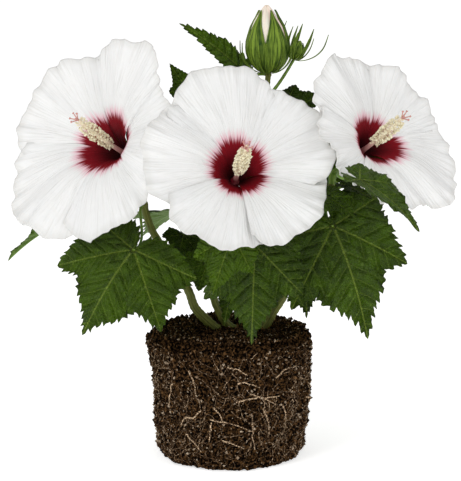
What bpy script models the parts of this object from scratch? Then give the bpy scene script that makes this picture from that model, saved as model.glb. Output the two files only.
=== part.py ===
"""A large-flowered hibiscus, lifted out of its pot and standing on its root ball.

Each sub-part is an object of its own: the root ball, the stems and flower stalks, the
calyx, petals and pistil of each bloom, the buds, and the large leaves with their stalks.
Metres, +Z up. The front of the plant faces -Y. The origin is the middle of the flat
underside of the root ball.
"""

import math
from typing import NamedTuple

import bmesh
import bpy
from mathutils import Vector

# Clearance that neighbouring solids keep
GAP = 0.0004

# Root ball, the shape of the pot that it grew in
BALL_HEIGHT = 0.120
BALL_TOP_RADIUS = 0.0765
BALL_FOOT_RADIUS = 0.0690
BALL_FOOT_ROUND = 0.0090
BALL_RIM_ROUND = 0.0120
BALL_UNEVEN = 0.0012
BALL_SIDES = 28

# Stems and stalks
LIMB_SIDES = 8
TWIG_SIDES = 6
STEM_FOOT_RADIUS = 0.0048
STEM_TOP_RADIUS = 0.0031
STALK_TOP_RADIUS = 0.0025
PETIOLE_RADIUS = 0.0013

# Blooms
PETALS = 5
PETAL_THICKNESS = 0.0012
PETAL_BANDS = (0.0, 0.12, 0.24, 0.46, 0.72, 1.0)
PETAL_COLUMNS = 4
THROAT_RADIUS = 0.0036
THROAT_ANGLE = math.radians(28)
FLARE_END = 0.66
MARGIN_ROUND = 0.09
CALYX_WALL = 0.0012
CALYX_FLOOR = 0.0050
PETAL_DIP = PETAL_THICKNESS * math.sin(THROAT_ANGLE)
CALYX_SLACK = 0.0007
CALYX_ROWS = 0.12
CALYX_NOTCH = 0.16
CALYX_TIP = 0.24
PISTIL_SIDES = 6
PISTIL_PROFILE = ((0.0, 0.0021), (0.28, 0.0018), (0.36, 0.0052), (0.62, 0.0066), (0.82, 0.0040), (1.0, 0.0036))

# Buds
BUD_SIDES = 10
BUD_PROFILE = ((0.0, 0.24), (0.07, 0.56), (0.20, 0.86), (0.38, 1.0), (0.55, 0.97), (0.70, 0.78), (0.84, 0.46), (0.93, 0.24), (1.0, 0.13))

# Leaves
BLADE_THICKNESS = 0.0020
BLADE_MID_RING = 0.55
BLADE_NOTCH = 0.0055
BLADE_COLLAR = 0.0018
COLLAR_DROP = 0.0030
COLLAR_BACK = 0.0026
PETIOLE_BANDS = 4
# Angle from the tip, then the edge's reach on a plain blade and on a lobed one, in blade lengths
BLADE_EDGE = (
    (0, 1.00, 1.00), (7, 0.86, 0.82), (17, 0.74, 0.70), (32, 0.62, 0.64), (48, 0.52, 0.74),
    (64, 0.44, 0.60), (84, 0.38, 0.53), (106, 0.33, 0.56), (132, 0.26, 0.43), (156, 0.18, 0.25),
)


class Limb(NamedTuple):
    """A stem or stalk: the places that its middle line passes and its radius at each end."""

    name: str
    places: tuple
    start_radius: float
    end_radius: float
    bands: int
    sides: int


class Bloom(NamedTuple):
    """An open flower: the foot of its pistil, where it faces, and the reach and flare of its petals."""

    name: str
    foot: tuple
    faces: tuple
    first_petal: float
    lengths: tuple
    flares: tuple
    pistil: float


class Leaf(NamedTuple):
    """A leaf: where stalk meets blade, its tip, where its upper face looks, and where it grows.

    The folds are how far its left and its right half rise from the midrib, or fall.
    """

    name: str
    junction: tuple
    tip: tuple
    faces: tuple
    width: float
    lobes: float
    folds: tuple
    droop: float
    limb: str
    along: float


LEFT_BLOOM = Bloom("left_bloom", (-0.0965, 0.006, 0.285), (-0.673, -0.556, 0.488), 0,
                   (0.112, 0.083, 0.102, 0.125, 0.127), (84, 90, 104, 86, 78), 0.078)
CENTRE_BLOOM = Bloom("centre_bloom", (0.004, -0.048, 0.268), (0.16, -0.83, 0.53), -8,
                     (0.112, 0.100, 0.093, 0.093, 0.100), (92, 88, 86, 86, 88), 0.072)
RIGHT_BLOOM = Bloom("right_bloom", (0.1205, 0.0, 0.288), (0.59, -0.619, 0.519), -25,
                    (0.098, 0.092, 0.114, 0.072, 0.076), (84, 82, 102, 86, 86), 0.074)
BLOOMS = (LEFT_BLOOM, CENTRE_BLOOM, RIGHT_BLOOM)

BUD_FOOT = Vector((0.0358, 0.028, 0.3610))
BUD_FACES = Vector((-0.03, 0.0, 1.0))
BUD_LENGTH = 0.063
BUD_RADIUS = 0.0200
SMALL_BUD_FOOT = Vector((0.0600, 0.030, 0.3735))
SMALL_BUD_FACES = Vector((0.35, 0.0, 1.0))
SMALL_BUD_LENGTH = 0.018
SMALL_BUD_RADIUS = 0.0070

LEAVES = (
    Leaf("leaf_left_front", (-0.089, -0.050, 0.205), (-0.134, -0.085, 0.132), (-0.25, -0.75, 0.60), 1.10, 1.0,
         (-0.50, 0.05), 0.30, "stem_left", 0.86),
    Leaf("leaf_far_left", (-0.147, 0.004, 0.227), (-0.209, -0.014, 0.190), (-0.30, 0.30, 0.90), 0.60, 0.4,
         (0.25, 0.25), 0.20, "stem_left", 0.93),
    Leaf("leaf_left_rear", (-0.045, 0.020, 0.207), (-0.022, 0.002, 0.178), (0.20, -0.60, 0.70), 0.90, 1.0,
         (0.10, 0.10), 0.20, "stem_left", 0.60),
    Leaf("leaf_left_inner", (-0.022, -0.022, 0.187), (-0.058, -0.032, 0.173), (-0.10, -0.55, 0.80), 1.20, 1.0,
         (-0.10, -0.10), 0.20, "stem_centre", 0.45),
    Leaf("leaf_centre_pale", (0.002, -0.0935, 0.2253), (-0.016, -0.1085, 0.174), (0.00, -0.60, 0.80), 0.95, 1.0,
         (0.10, -0.20), 0.20, "stem_centre", 0.92),
    Leaf("leaf_centre_dark", (0.004, -0.036, 0.184), (-0.006, -0.046, 0.133), (0.00, -0.90, 0.30), 0.60, 0.5,
         (0.15, 0.15), 0.20, "stem_centre", 0.60),
    Leaf("leaf_front", (0.022, -0.066, 0.212), (0.019, -0.086, 0.124), (0.00, -0.90, 0.40), 0.90, 1.0,
         (0.05, -0.50), 0.25, "stem_centre", 0.98),
    Leaf("leaf_right_inner", (0.070, -0.030, 0.205), (0.070, -0.048, 0.140), (0.10, -0.90, 0.30), 0.75, 0.9,
         (0.10, -0.30), 0.20, "stem_right", 0.45),
    Leaf("leaf_right_front", (0.094, -0.045, 0.226), (0.126, -0.075, 0.128), (0.25, -0.80, 0.50), 0.95, 1.0,
         (0.05, -0.55), 0.30, "stem_right", 0.80),
    Leaf("leaf_right_rear", (0.112, 0.010, 0.218), (0.150, 0.034, 0.221), (0.00, -0.30, 0.90), 0.90, 1.0,
         (0.10, 0.10), 0.20, "stem_right", 0.70),
    Leaf("leaf_right_outer", (0.115, -0.090, 0.275), (0.168, -0.100, 0.230), (0.20, -0.30, 0.90), 0.70, 0.4,
         (0.20, 0.20), 0.30, "stalk_right", 0.35),
    Leaf("leaf_right_young", (0.089, -0.030, 0.251), (0.115, -0.048, 0.233), (0.10, -0.50, 0.80), 0.80, 0.9,
         (0.10, 0.10), 0.15, "stem_right", 0.88),
    Leaf("leaf_right_narrow", (0.106, -0.016, 0.260), (0.131, -0.034, 0.249), (0.10, -0.40, 0.90), 0.55, 0.3,
         (0.10, 0.10), 0.15, "stem_right", 0.93),
    Leaf("leaf_between_blooms", (0.102, 0.020, 0.262), (0.097, 0.024, 0.304), (0.10, -0.95, 0.10), 0.80, 0.5,
         (0.25, 0.25), 0.10, "stalk_right", 0.25),
    Leaf("leaf_top", (0.009, 0.040, 0.364), (-0.048, 0.030, 0.407), (-0.20, -0.60, 0.70), 0.40, 0.3,
         (0.20, 0.20), 0.20, "stem_bud", 0.97),
    Leaf("leaf_top_left", (-0.036, 0.046, 0.335), (-0.058, 0.046, 0.368), (0.00, -0.90, 0.30), 0.75, 0.8,
         (0.10, 0.10), 0.15, "stem_bud", 0.80),
    Leaf("leaf_top_right", (0.050, 0.050, 0.322), (0.092, 0.055, 0.338), (0.00, -0.90, 0.40), 0.80, 0.8,
         (0.10, 0.10), 0.15, "stem_bud", 0.85),
    Leaf("leaf_centre_right", (0.080, 0.018, 0.220), (0.054, 0.008, 0.193), (-0.20, -0.70, 0.60), 0.80, 0.8,
         (0.10, 0.10), 0.20, "stem_right", 0.62),
)

# The rear of the crown, hidden from the front by the blooms: each row is a leaf's limb, the
# share of the limb where it grows, its bearing from +X, and its height and distance out
REAR_LEAVES = (
    ("stem_left", 0.88, 158, 0.262, 0.118),
    ("stem_centre", 0.80, 128, 0.226, 0.064),
    ("stem_bud", 0.45, 84, 0.242, 0.072),
    ("stem_right", 0.78, 42, 0.231, 0.114),
    ("stem_right", 0.92, 26, 0.262, 0.140),
    ("stem_bud", 0.58, 112, 0.278, 0.068),
    ("stem_bud", 0.66, 58, 0.284, 0.068),
    ("stem_bud", 0.76, 148, 0.300, 0.066),
    ("stem_bud", 0.86, 91, 0.327, 0.074),
)
REAR_REACH = 0.078
REAR_FALL = 0.036

COLOURS = {
    "root_ball": ((0.045, 0.028, 0.018), 0.95),
    "stem": ((0.16, 0.20, 0.06), 0.60),
    "stalk": ((0.14, 0.26, 0.06), 0.55),
    "calyx": ((0.13, 0.30, 0.06), 0.55),
    "petal": ((0.90, 0.89, 0.87), 0.60),
    "pistil": ((0.88, 0.74, 0.45), 0.70),
    "bud": ((0.18, 0.36, 0.08), 0.50),
    "leaf": ((0.055, 0.16, 0.030), 0.50),
}


def clear_scene():
    """Removes what the startup scene holds."""
    for thing in list(bpy.data.objects):
        bpy.data.objects.remove(thing)


def finish_material(finish):
    """The plain material of one kind of sub-part, made once."""
    made = bpy.data.materials.get(finish)
    if made:
        return made
    colour, roughness = COLOURS[finish]
    material = bpy.data.materials.new(finish)
    material.use_nodes = True
    shader = material.node_tree.nodes["Principled BSDF"]
    shader.inputs["Base Color"].default_value = (*colour, 1.0)
    shader.inputs["Roughness"].default_value = roughness
    shader.inputs["Metallic"].default_value = 0.0
    return material


def add_solid(name, finish, points, faces, at=Vector()):
    """One closed object with its faces turned outwards and its origin at the given place."""
    mesh = bpy.data.meshes.new(name)
    mesh.from_pydata([Vector(point) - at for point in points], [], faces)
    shell = bmesh.new()
    shell.from_mesh(mesh)
    bmesh.ops.recalc_face_normals(shell, faces=shell.faces)
    shell.to_mesh(mesh)
    shell.free()
    mesh.shade_smooth()
    mesh.set_sharp_from_angle(angle=math.radians(50))
    mesh.materials.append(finish_material(finish))
    solid = bpy.data.objects.new(name, mesh)
    solid.location = at
    bpy.context.scene.collection.objects.link(solid)
    return solid


def ring_faces(first, second, count):
    """The faces of the band between two rings, given by the number of their first points."""
    turn = [(step, (step + 1) % count) for step in range(count)]
    return [(first + a, first + b, second + b, second + a) for a, b in turn]


def smooth_step(share):
    """0 to 1 with a soft start and end."""
    share = min(max(share, 0.0), 1.0)
    return share * share * (3.0 - 2.0 * share)


def root_ball():
    """The root ball: a tapered drum with rounded rims, flat below and flat where the stems stand."""
    foot_arc = [math.radians(turn) for turn in (0, 35, 90)]
    rim_arc = [math.radians(turn) for turn in (0, 50, 90)]
    profile = []
    for turn in foot_arc:
        inset = BALL_FOOT_ROUND * (1 - math.sin(turn))
        profile.append((BALL_FOOT_ROUND * (1 - math.cos(turn)), BALL_FOOT_RADIUS - inset))
    for share in (0.33, 0.66):
        radius = BALL_FOOT_RADIUS + share * (BALL_TOP_RADIUS - BALL_FOOT_RADIUS)
        profile.append((share * BALL_HEIGHT, radius))
    for turn in rim_arc:
        inset = BALL_RIM_ROUND * (1 - math.cos(turn))
        height = BALL_HEIGHT - BALL_RIM_ROUND * (1 - math.sin(turn))
        profile.append((height, BALL_TOP_RADIUS - inset))
    points = []
    for height, radius in profile:
        for side in range(BALL_SIDES):
            angle = 2 * math.pi * side / BALL_SIDES
            bump = math.sin(3 * angle + 31 * height) + math.sin(7 * angle - 70 * height)
            reach = radius + BALL_UNEVEN * bump
            points.append((reach * math.cos(angle), reach * math.sin(angle), height))
    faces = []
    for band in range(len(profile) - 1):
        faces += ring_faces(band * BALL_SIDES, (band + 1) * BALL_SIDES, BALL_SIDES)
    faces.append(tuple(range(BALL_SIDES)))
    last = (len(profile) - 1) * BALL_SIDES
    faces.append(tuple(range(last, last + BALL_SIDES)))
    return add_solid("root_ball", "root_ball", points, faces)


def curve_point(places, share):
    """A point of the smooth curve through the places, at this share of its spans."""
    spans = len(places) - 1
    span = min(int(share * spans), spans - 1)
    part = share * spans - span
    before = places[max(span - 1, 0)]
    start, end = places[span], places[span + 1]
    after = places[min(span + 2, spans)]
    leave = (end - before) * 0.5
    arrive = (after - start) * 0.5
    square, cube = part * part, part * part * part
    return (
        start * (2 * cube - 3 * square + 1)
        + leave * (cube - 2 * square + part)
        + end * (3 * square - 2 * cube)
        + arrive * (cube - square)
    )


def tube_rings(centres, directions, radii, sides, across):
    """Rings of points round the centres, each square to its direction, turned as little as they can be."""
    rings = []
    for number, centre in enumerate(centres):
        if number:
            turn = directions[number - 1].rotation_difference(directions[number])
            across = turn @ across
        across = (across - directions[number] * across.dot(directions[number])).normalized()
        beside = directions[number].cross(across)
        for side in range(sides):
            angle = 2 * math.pi * side / sides
            spoke = across * math.cos(angle) + beside * math.sin(angle)
            rings.append(centre + spoke * radii[number])
    return rings


def limb_axis(limb):
    """Middle line, directions and radii of a limb at each of its rings."""
    places = [Vector(place) for place in limb.places]
    shares = [ring / limb.bands for ring in range(limb.bands + 1)]
    centres = [curve_point(places, share) for share in shares]
    directions = []
    for share in shares:
        ahead = curve_point(places, min(share + 0.01, 1.0))
        behind = curve_point(places, max(share - 0.01, 0.0))
        directions.append((ahead - behind).normalized())
    taper = limb.end_radius - limb.start_radius
    radii = [limb.start_radius + taper * share for share in shares]
    return centres, directions, radii


def build_limb(limb, finish, level_foot):
    """A tapering limb with a cut at each end, level at the foot if it stands on the root ball."""
    centres, directions, radii = limb_axis(limb)
    if level_foot:
        directions[0] = Vector((0, 0, 1))
    points = tube_rings(centres, directions, radii, limb.sides, Vector((1, 0, 0)))
    faces = []
    for band in range(limb.bands):
        faces += ring_faces(band * limb.sides, (band + 1) * limb.sides, limb.sides)
    faces.append(tuple(range(limb.sides)))
    last = limb.bands * limb.sides
    faces.append(tuple(range(last, last + limb.sides)))
    return add_solid(limb.name, finish, points, faces)


def bloom_frame(bloom):
    """Where the bloom faces, its right and its up."""
    faces = Vector(bloom.faces).normalized()
    right = Vector((0, 0, 1)).cross(faces).normalized()
    return faces, right, faces.cross(right)


def blend_round(values, turn):
    """A value between those of the five petals, smooth all the way round."""
    place = turn % PETALS
    petal = int(place) % PETALS
    share = smooth_step(place - int(place))
    return values[petal] + share * (values[(petal + 1) % PETALS] - values[petal])


def corolla_point(bloom, along, turn, outward=0.0):
    """A point of the corolla at this share of its length, with turn counted in petals."""
    faces, right, up = bloom_frame(bloom)
    length = blend_round(bloom.lengths, turn)
    beside = abs(turn - round(turn)) * 2
    length *= 1 - MARGIN_ROUND * beside**3
    flare = math.radians(blend_round(bloom.flares, turn))
    steps = 16
    radius, height = THROAT_RADIUS, 0.0
    slope = THROAT_ANGLE
    for step in range(steps):
        share = along * (step + 0.5) / steps
        slope = THROAT_ANGLE + (flare - THROAT_ANGLE) * smooth_step(share / FLARE_END)
        radius += math.sin(slope) * length * along / steps
        height += math.cos(slope) * length * along / steps
    radius += outward * math.cos(slope)
    height -= outward * math.sin(slope)
    angle = math.radians(bloom.first_petal) + 2 * math.pi * turn / PETALS
    spoke = up * math.cos(angle) + right * math.sin(angle)
    return Vector(bloom.foot) + spoke * radius + faces * height


def build_petal(bloom, number):
    """One petal: a thin curved sheet that keeps clear of the petals beside it."""
    inner, outer = [], []
    for along in PETAL_BANDS:
        reach = THROAT_RADIUS + along * bloom.lengths[number]
        half = 0.5 - 0.5 * GAP * PETALS / (2 * math.pi * reach)
        for column in range(PETAL_COLUMNS + 1):
            turn = number + half * (2 * column / PETAL_COLUMNS - 1)
            inner.append(corolla_point(bloom, along, turn))
            outer.append(corolla_point(bloom, along, turn, PETAL_THICKNESS))
    wide = PETAL_COLUMNS + 1
    bands = len(PETAL_BANDS) - 1
    below = len(inner)
    faces = []
    for band in range(bands):
        for column in range(PETAL_COLUMNS):
            corner = band * wide + column
            quad = (corner, corner + 1, corner + wide + 1, corner + wide)
            faces.append(quad)
            faces.append(tuple(below + point for point in reversed(quad)))
    edge = [column for column in range(wide)]
    edge += [band * wide + PETAL_COLUMNS for band in range(1, bands + 1)]
    edge += [bands * wide + column for column in range(PETAL_COLUMNS - 1, -1, -1)]
    edge += [band * wide for band in range(bands - 1, 0, -1)]
    for start, end in zip(edge, edge[1:] + edge[:1]):
        faces.append((end, start, below + start, below + end))
    name = f"{bloom.name}_petal_{number + 1}"
    return add_solid(name, "petal", inner + outer, faces, Vector(bloom.foot))


def build_calyx(bloom):
    """The green cup with five lobes that holds the petals, closed below where the stalk meets it."""
    faces_to, _, _ = bloom_frame(bloom)
    foot = Vector(bloom.foot)
    sides = 2 * PETALS
    inside = PETAL_THICKNESS + GAP + CALYX_SLACK
    outside = inside + CALYX_WALL
    rows = ((0.0, outside), (CALYX_ROWS, outside), (CALYX_TIP, outside), (CALYX_TIP, inside), (CALYX_ROWS, inside), (0.0, inside))
    points = []
    for side in range(sides):
        points.append(foot + (corolla_point(bloom, 0.0, side / 2) - foot) * 0.7 - faces_to * CALYX_FLOOR)
    for share, outward in rows:
        for side in range(sides):
            along = CALYX_NOTCH if share == CALYX_TIP and side % 2 else share
            place = corolla_point(bloom, along, side / 2, outward)
            if share == 0.0:
                place -= faces_to * (faces_to.dot(place - foot) + PETAL_DIP + GAP)
            points.append(place)
    rings = len(rows) + 1
    faces = []
    for ring in range(rings - 1):
        faces += ring_faces(ring * sides, (ring + 1) * sides, sides)
    faces.append(tuple(range(sides)))
    last = (rings - 1) * sides
    faces.append(tuple(range(last, last + sides)))
    return add_solid(f"{bloom.name}_calyx", "calyx", points, faces, foot)


def build_turned(name, finish, foot, faces_to, length, profile, sides):
    """A solid turned round its own axis from a profile of shares of its length and radii."""
    direction = faces_to.normalized()
    centres = [foot + direction * (share * length) for share, _ in profile]
    radii = [radius for _, radius in profile]
    directions = [direction] * len(profile)
    across = direction.orthogonal().normalized()
    points = tube_rings(centres, directions, radii, sides, across)
    faces = []
    for band in range(len(profile) - 1):
        faces += ring_faces(band * sides, (band + 1) * sides, sides)
    faces.append(tuple(range(sides)))
    last = (len(profile) - 1) * sides
    faces.append(tuple(range(last, last + sides)))
    return add_solid(name, finish, points, faces, foot)


def blade_outline(width, lobes, length):
    """One turn of the blade's edge round the junction, between a plain oval blade and one with five lobes."""
    half = [(angle, plain + lobes * (lobed - plain)) for angle, plain, lobed in BLADE_EDGE]
    notch = (180, max(BLADE_NOTCH / length, 0.07))
    right = [(360 - angle, reach) for angle, reach in reversed(half[1:])]
    edge = half + [notch] + right
    return [(length * reach * math.cos(math.radians(angle)),
             length * reach * math.sin(math.radians(angle)) * width) for angle, reach in edge]


def leaf_frame(leaf):
    """Length of the blade and its own axes: to the tip, to its left and out of its upper face."""
    junction, tip = Vector(leaf.junction), Vector(leaf.tip)
    chord = (tip - junction).normalized()
    normal = Vector(leaf.faces)
    normal = (normal - chord * normal.dot(chord)).normalized()
    lean = math.atan(leaf.droop)
    ahead = chord * math.cos(lean) + normal * math.sin(lean)
    above = normal * math.cos(lean) - chord * math.sin(lean)
    length = (tip - junction).length * math.cos(lean)
    return length, ahead, above.cross(ahead), above


def petiole_line(leaf, limbs, start, leave):
    """Points of the leaf stalk from under the blade to the skin of the limb that it grows from."""
    centres, directions, radii = limb_axis(limbs[leaf.limb])
    place = leaf.along * (len(centres) - 1)
    ring = min(int(place), len(centres) - 2)
    share = place - ring
    middle = centres[ring].lerp(centres[ring + 1], share)
    radius = radii[ring] + share * (radii[ring + 1] - radii[ring])
    course = (centres[ring + 1] - centres[ring]).normalized()
    out = start - middle
    out = (out - course * out.dot(course)).normalized()
    end = middle + out * (radius + GAP)
    span = (end - start).length
    first = start + leave * span * 0.35
    second = end + out * span * 0.30
    line = []
    for step in range(PETIOLE_BANDS + 1):
        part = step / PETIOLE_BANDS
        rest = 1 - part
        line.append(start * rest**3 + first * 3 * rest**2 * part + second * 3 * rest * part**2 + end * part**3)
    return line, -out


def build_leaf(leaf, limbs):
    """A leaf as one solid: a thin, folded and drooping blade with its stalk under the notch."""
    junction = Vector(leaf.junction)
    length, ahead, left, above = leaf_frame(leaf)

    def on_blade(x, y, lift):
        fall = leaf.droop * x * x / length if x > 0 else 0.0
        rise = leaf.folds[0 if y > 0 else 1] * abs(y)
        return junction + ahead * x + left * y + above * (rise - fall + lift)

    edge = blade_outline(leaf.width, leaf.lobes, length)
    count = len(edge)
    half = BLADE_THICKNESS / 2
    ring = [(x * BLADE_MID_RING, y * BLADE_MID_RING) for x, y in edge]
    points = [on_blade(x, y, 0.0) for x, y in edge]
    points += [on_blade(x, y, half) for x, y in ring]
    points += [on_blade(x, y, -half) for x, y in ring]
    top = len(points)
    points.append(on_blade(0.0, 0.0, half))
    faces = ring_faces(0, count, count) + ring_faces(0, 2 * count, count)
    faces += [(count + side, count + (side + 1) % count, top) for side in range(count)]

    start = junction - above * COLLAR_DROP - ahead * COLLAR_BACK
    leave = (-ahead - above * 0.4).normalized()
    line, last_direction = petiole_line(leaf, limbs, start, leave)
    centres = [junction - above * half] + line
    directions = [-above, leave]
    directions += [(line[step + 1] - line[step - 1]).normalized() for step in range(1, PETIOLE_BANDS)]
    directions.append(last_direction)
    radii = [BLADE_COLLAR] + [PETIOLE_RADIUS] * len(line)
    collar = len(points)
    points += tube_rings(centres, directions, radii, TWIG_SIDES, ahead)
    for band in range(len(centres) - 1):
        faces += ring_faces(collar + band * TWIG_SIDES, collar + (band + 1) * TWIG_SIDES, TWIG_SIDES)
    last = collar + (len(centres) - 1) * TWIG_SIDES
    faces.append(tuple(range(last, last + TWIG_SIDES)))

    def nearest_side(x, y):
        return round(-math.atan2(y, x) / (2 * math.pi) * TWIG_SIDES) % TWIG_SIDES

    for side in range(count):
        here, ahead_of = 2 * count + side, 2 * count + (side + 1) % count
        spot = nearest_side(*ring[side])
        next_spot = nearest_side(*ring[(side + 1) % count])
        faces.append((here, ahead_of, collar + spot))
        if spot != next_spot:
            faces.append((ahead_of, collar + next_spot, collar + spot))
    return add_solid(leaf.name, "leaf", points, faces, junction)


def rear_leaves():
    """The leaves at the rear, fanned outwards and drooping."""
    leaves = []
    for number, (limb, along, bearing, height, out) in enumerate(REAR_LEAVES):
        angle = math.radians(bearing)
        spoke = Vector((math.cos(angle), math.sin(angle), 0.0))
        junction = spoke * out + Vector((0, 0, height))
        tip = junction + spoke * REAR_REACH - Vector((0, 0, REAR_FALL))
        faces = spoke * 0.35 + Vector((0, 0, 0.9))
        name = f"leaf_rear_{number + 1}"
        leaves.append(Leaf(name, tuple(junction), tuple(tip), tuple(faces), 0.92, 1.0, (0.08, 0.08), 0.35, limb, along))
    return leaves


def limb_list():
    """Every stem and stalk. The stems stand on the root ball, and each stalk ends under a calyx or a bud."""
    foot = BALL_HEIGHT + GAP

    def under(bloom):
        faces, _, _ = bloom_frame(bloom)
        end = Vector(bloom.foot) - faces * (CALYX_FLOOR + GAP)
        return [tuple(end - faces * 0.016), tuple(end)]

    stems = (
        Limb("stem_left", ((-0.012, 0.0, foot), (-0.024, -0.002, 0.130), (-0.034, -0.004, 0.142), (-0.040, -0.004, 0.158),
                           (-0.055, 0.0, 0.184), (-0.0735, 0.004, 0.213), (-0.082, 0.008, 0.237), (-0.0905, 0.010, 0.255)),
             STEM_FOOT_RADIUS, STEM_TOP_RADIUS, 12, LIMB_SIDES),
        Limb("stem_centre", ((0.002, 0.006, foot), (-0.008, 0.004, 0.130), (-0.017, 0.001, 0.155), (-0.015, -0.002, 0.187),
                             (-0.008, -0.001, 0.220), (-0.006, -0.003, 0.232)),
             STEM_FOOT_RADIUS * 0.85, STEM_TOP_RADIUS, 9, LIMB_SIDES),
        Limb("stem_right", ((0.030, 0.0, foot), (0.040, 0.0, 0.136), (0.051, 0.0, 0.1545), (0.0594, 0.0, 0.184),
                            (0.0687, 0.0, 0.205), (0.081, 0.0, 0.226), (0.091, 0.0, 0.2434), (0.0946, 0.0, 0.2576)),
             STEM_FOOT_RADIUS, STEM_TOP_RADIUS, 12, LIMB_SIDES),
        Limb("stem_bud", ((0.012, 0.024, foot), (0.0134, 0.030, 0.162), (0.021, 0.034, 0.239), (0.027, 0.034, 0.300),
                          (0.033, 0.031, 0.335), tuple(BUD_FOOT - BUD_FACES.normalized() * GAP)),
             STEM_FOOT_RADIUS * 0.9, STALK_TOP_RADIUS, 12, LIMB_SIDES),
    )
    stalks = (
        Limb("stalk_left", ((-0.0911, 0.0103, 0.2568), (-0.0905, 0.0110, 0.266), *under(LEFT_BLOOM)),
             STEM_TOP_RADIUS, STALK_TOP_RADIUS, 5, LIMB_SIDES),
        Limb("stalk_centre", ((-0.0058, -0.0035, 0.2328), (-0.004, -0.007, 0.242), *under(CENTRE_BLOOM)),
             STEM_TOP_RADIUS, STALK_TOP_RADIUS, 5, LIMB_SIDES),
        Limb("stalk_right", ((0.0948, 0.0, 0.2588), (0.0965, 0.004, 0.267), *under(RIGHT_BLOOM)),
             STEM_TOP_RADIUS, STALK_TOP_RADIUS, 5, LIMB_SIDES),
        Limb("stalk_small_bud", ((0.0378, 0.031, 0.3385), (0.044, 0.031, 0.348), (0.052, 0.030, 0.360),
                                 tuple(SMALL_BUD_FOOT - SMALL_BUD_FACES.normalized() * GAP)),
             0.0016, 0.0014, 4, TWIG_SIDES),
    )
    return stems, stalks


def build_plant():
    """Every sub-part of the plant."""
    root_ball()
    stems, stalks = limb_list()
    for stem in stems:
        build_limb(stem, "stem", True)
    for stalk in stalks:
        build_limb(stalk, "stalk", False)
    for bloom in BLOOMS:
        faces, _, _ = bloom_frame(bloom)
        build_calyx(bloom)
        for number in range(PETALS):
            build_petal(bloom, number)
        seat = Vector(bloom.foot) - faces * PETAL_DIP
        build_turned(f"{bloom.name}_pistil", "pistil", seat, faces, bloom.pistil, PISTIL_PROFILE, PISTIL_SIDES)
    for name, foot, faces, length, radius in (
        ("bud", BUD_FOOT, BUD_FACES, BUD_LENGTH, BUD_RADIUS),
        ("small_bud", SMALL_BUD_FOOT, SMALL_BUD_FACES, SMALL_BUD_LENGTH, SMALL_BUD_RADIUS),
    ):
        profile = tuple((share, width * radius) for share, width in BUD_PROFILE)
        build_turned(name, "bud", foot, faces, length, profile, BUD_SIDES)
    limbs = {limb.name: limb for limb in stems + stalks}
    for leaf in list(LEAVES) + rear_leaves():
        build_leaf(leaf, limbs)


clear_scene()
build_plant()
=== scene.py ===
"""The looks of a large-flowered hibiscus on its bare root ball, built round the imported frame.

Metres, +Z up; the front of the plant faces -Y. Each class from RootBall on builds one kind of
sub-assembly: the root ball, the stems, the leaves, the blooms, the buds and the studio.
"""

import logging
import math
from dataclasses import dataclass, field
from enum import Enum
from functools import cached_property

import bpy
import numpy as np
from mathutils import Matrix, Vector, noise


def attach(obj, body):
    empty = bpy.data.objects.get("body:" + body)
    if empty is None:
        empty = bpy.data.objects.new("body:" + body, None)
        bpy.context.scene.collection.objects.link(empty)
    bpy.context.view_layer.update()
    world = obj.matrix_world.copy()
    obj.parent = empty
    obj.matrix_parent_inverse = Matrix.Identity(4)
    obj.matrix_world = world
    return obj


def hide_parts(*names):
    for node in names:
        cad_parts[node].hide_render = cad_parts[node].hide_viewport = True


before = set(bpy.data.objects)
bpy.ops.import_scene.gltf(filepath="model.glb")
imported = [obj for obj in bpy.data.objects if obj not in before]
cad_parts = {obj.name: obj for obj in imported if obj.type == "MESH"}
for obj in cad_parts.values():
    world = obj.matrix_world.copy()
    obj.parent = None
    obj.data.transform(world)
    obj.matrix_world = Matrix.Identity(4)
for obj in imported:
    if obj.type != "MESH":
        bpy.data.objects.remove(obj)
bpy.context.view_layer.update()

Array = np.ndarray
Draw = np.random.Generator
Node = bpy.types.Node
Tree = bpy.types.NodeTree
Socket = bpy.types.NodeSocket
Material = bpy.types.Material
Materials = dict[str, list[Material]]
Colour = tuple[float, float, float]

log = logging.getLogger("hibiscus")

SEED = 11
BODY = "root"
PATTERN = "pattern"
TONE = "tone"
EVEN_TONE = 0.5
UP = np.array((0.0, 0.0, 1.0))
FULL_TURN = 2 * math.pi
# Where a sine wave reaches its top, closely enough
WAVE_TOP = 1.57

# Root ball, as in the frame
BALL_HEIGHT = 0.120
BALL_TOP_RADIUS = 0.0765
BALL_FOOT_RADIUS = 0.0690

# Blooms, as in the frame
PETALS = 5
THROAT_RADIUS = 0.0036
THROAT_ANGLE = math.radians(28)
FLARE_END = 0.66
FLARE_STEPS = 16
MARGIN_ROUND = 0.09
CALYX_FLOOR = 0.0050

# Leaves: side veins in a blade's length, how far they slant, and the least lobing that has five main veins
SIDE_VEINS = 8.0
VEIN_SLANT = 0.78
LOBED = 0.35


def unit(vectors: Array) -> Array:
    """The vectors at length one."""
    return vectors / np.maximum(np.linalg.norm(vectors, axis=-1, keepdims=True), 1e-12)


def smooth_step(share: Array) -> Array:
    """0 to 1 with a soft start and end."""
    held = np.clip(share, 0.0, 1.0)
    return held * held * (3.0 - 2.0 * held)


def rise_and_hold(share: Array, pace: float) -> Array:
    """A sine wave up to its top, which it then holds."""
    return np.sin(np.minimum(share * pace, WAVE_TOP))


def run_along(points: Array) -> Array:
    """How far along a line of points each one is."""
    return np.concatenate([[0], np.cumsum(np.linalg.norm(np.diff(points, axis=0), axis=1))])


def spoke(angle: Array, first: Array, second: Array) -> Array:
    """Ways out at angles that turn from the first way across towards the second."""
    return np.cos(angle)[..., None] * first + np.sin(angle)[..., None] * second


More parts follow.
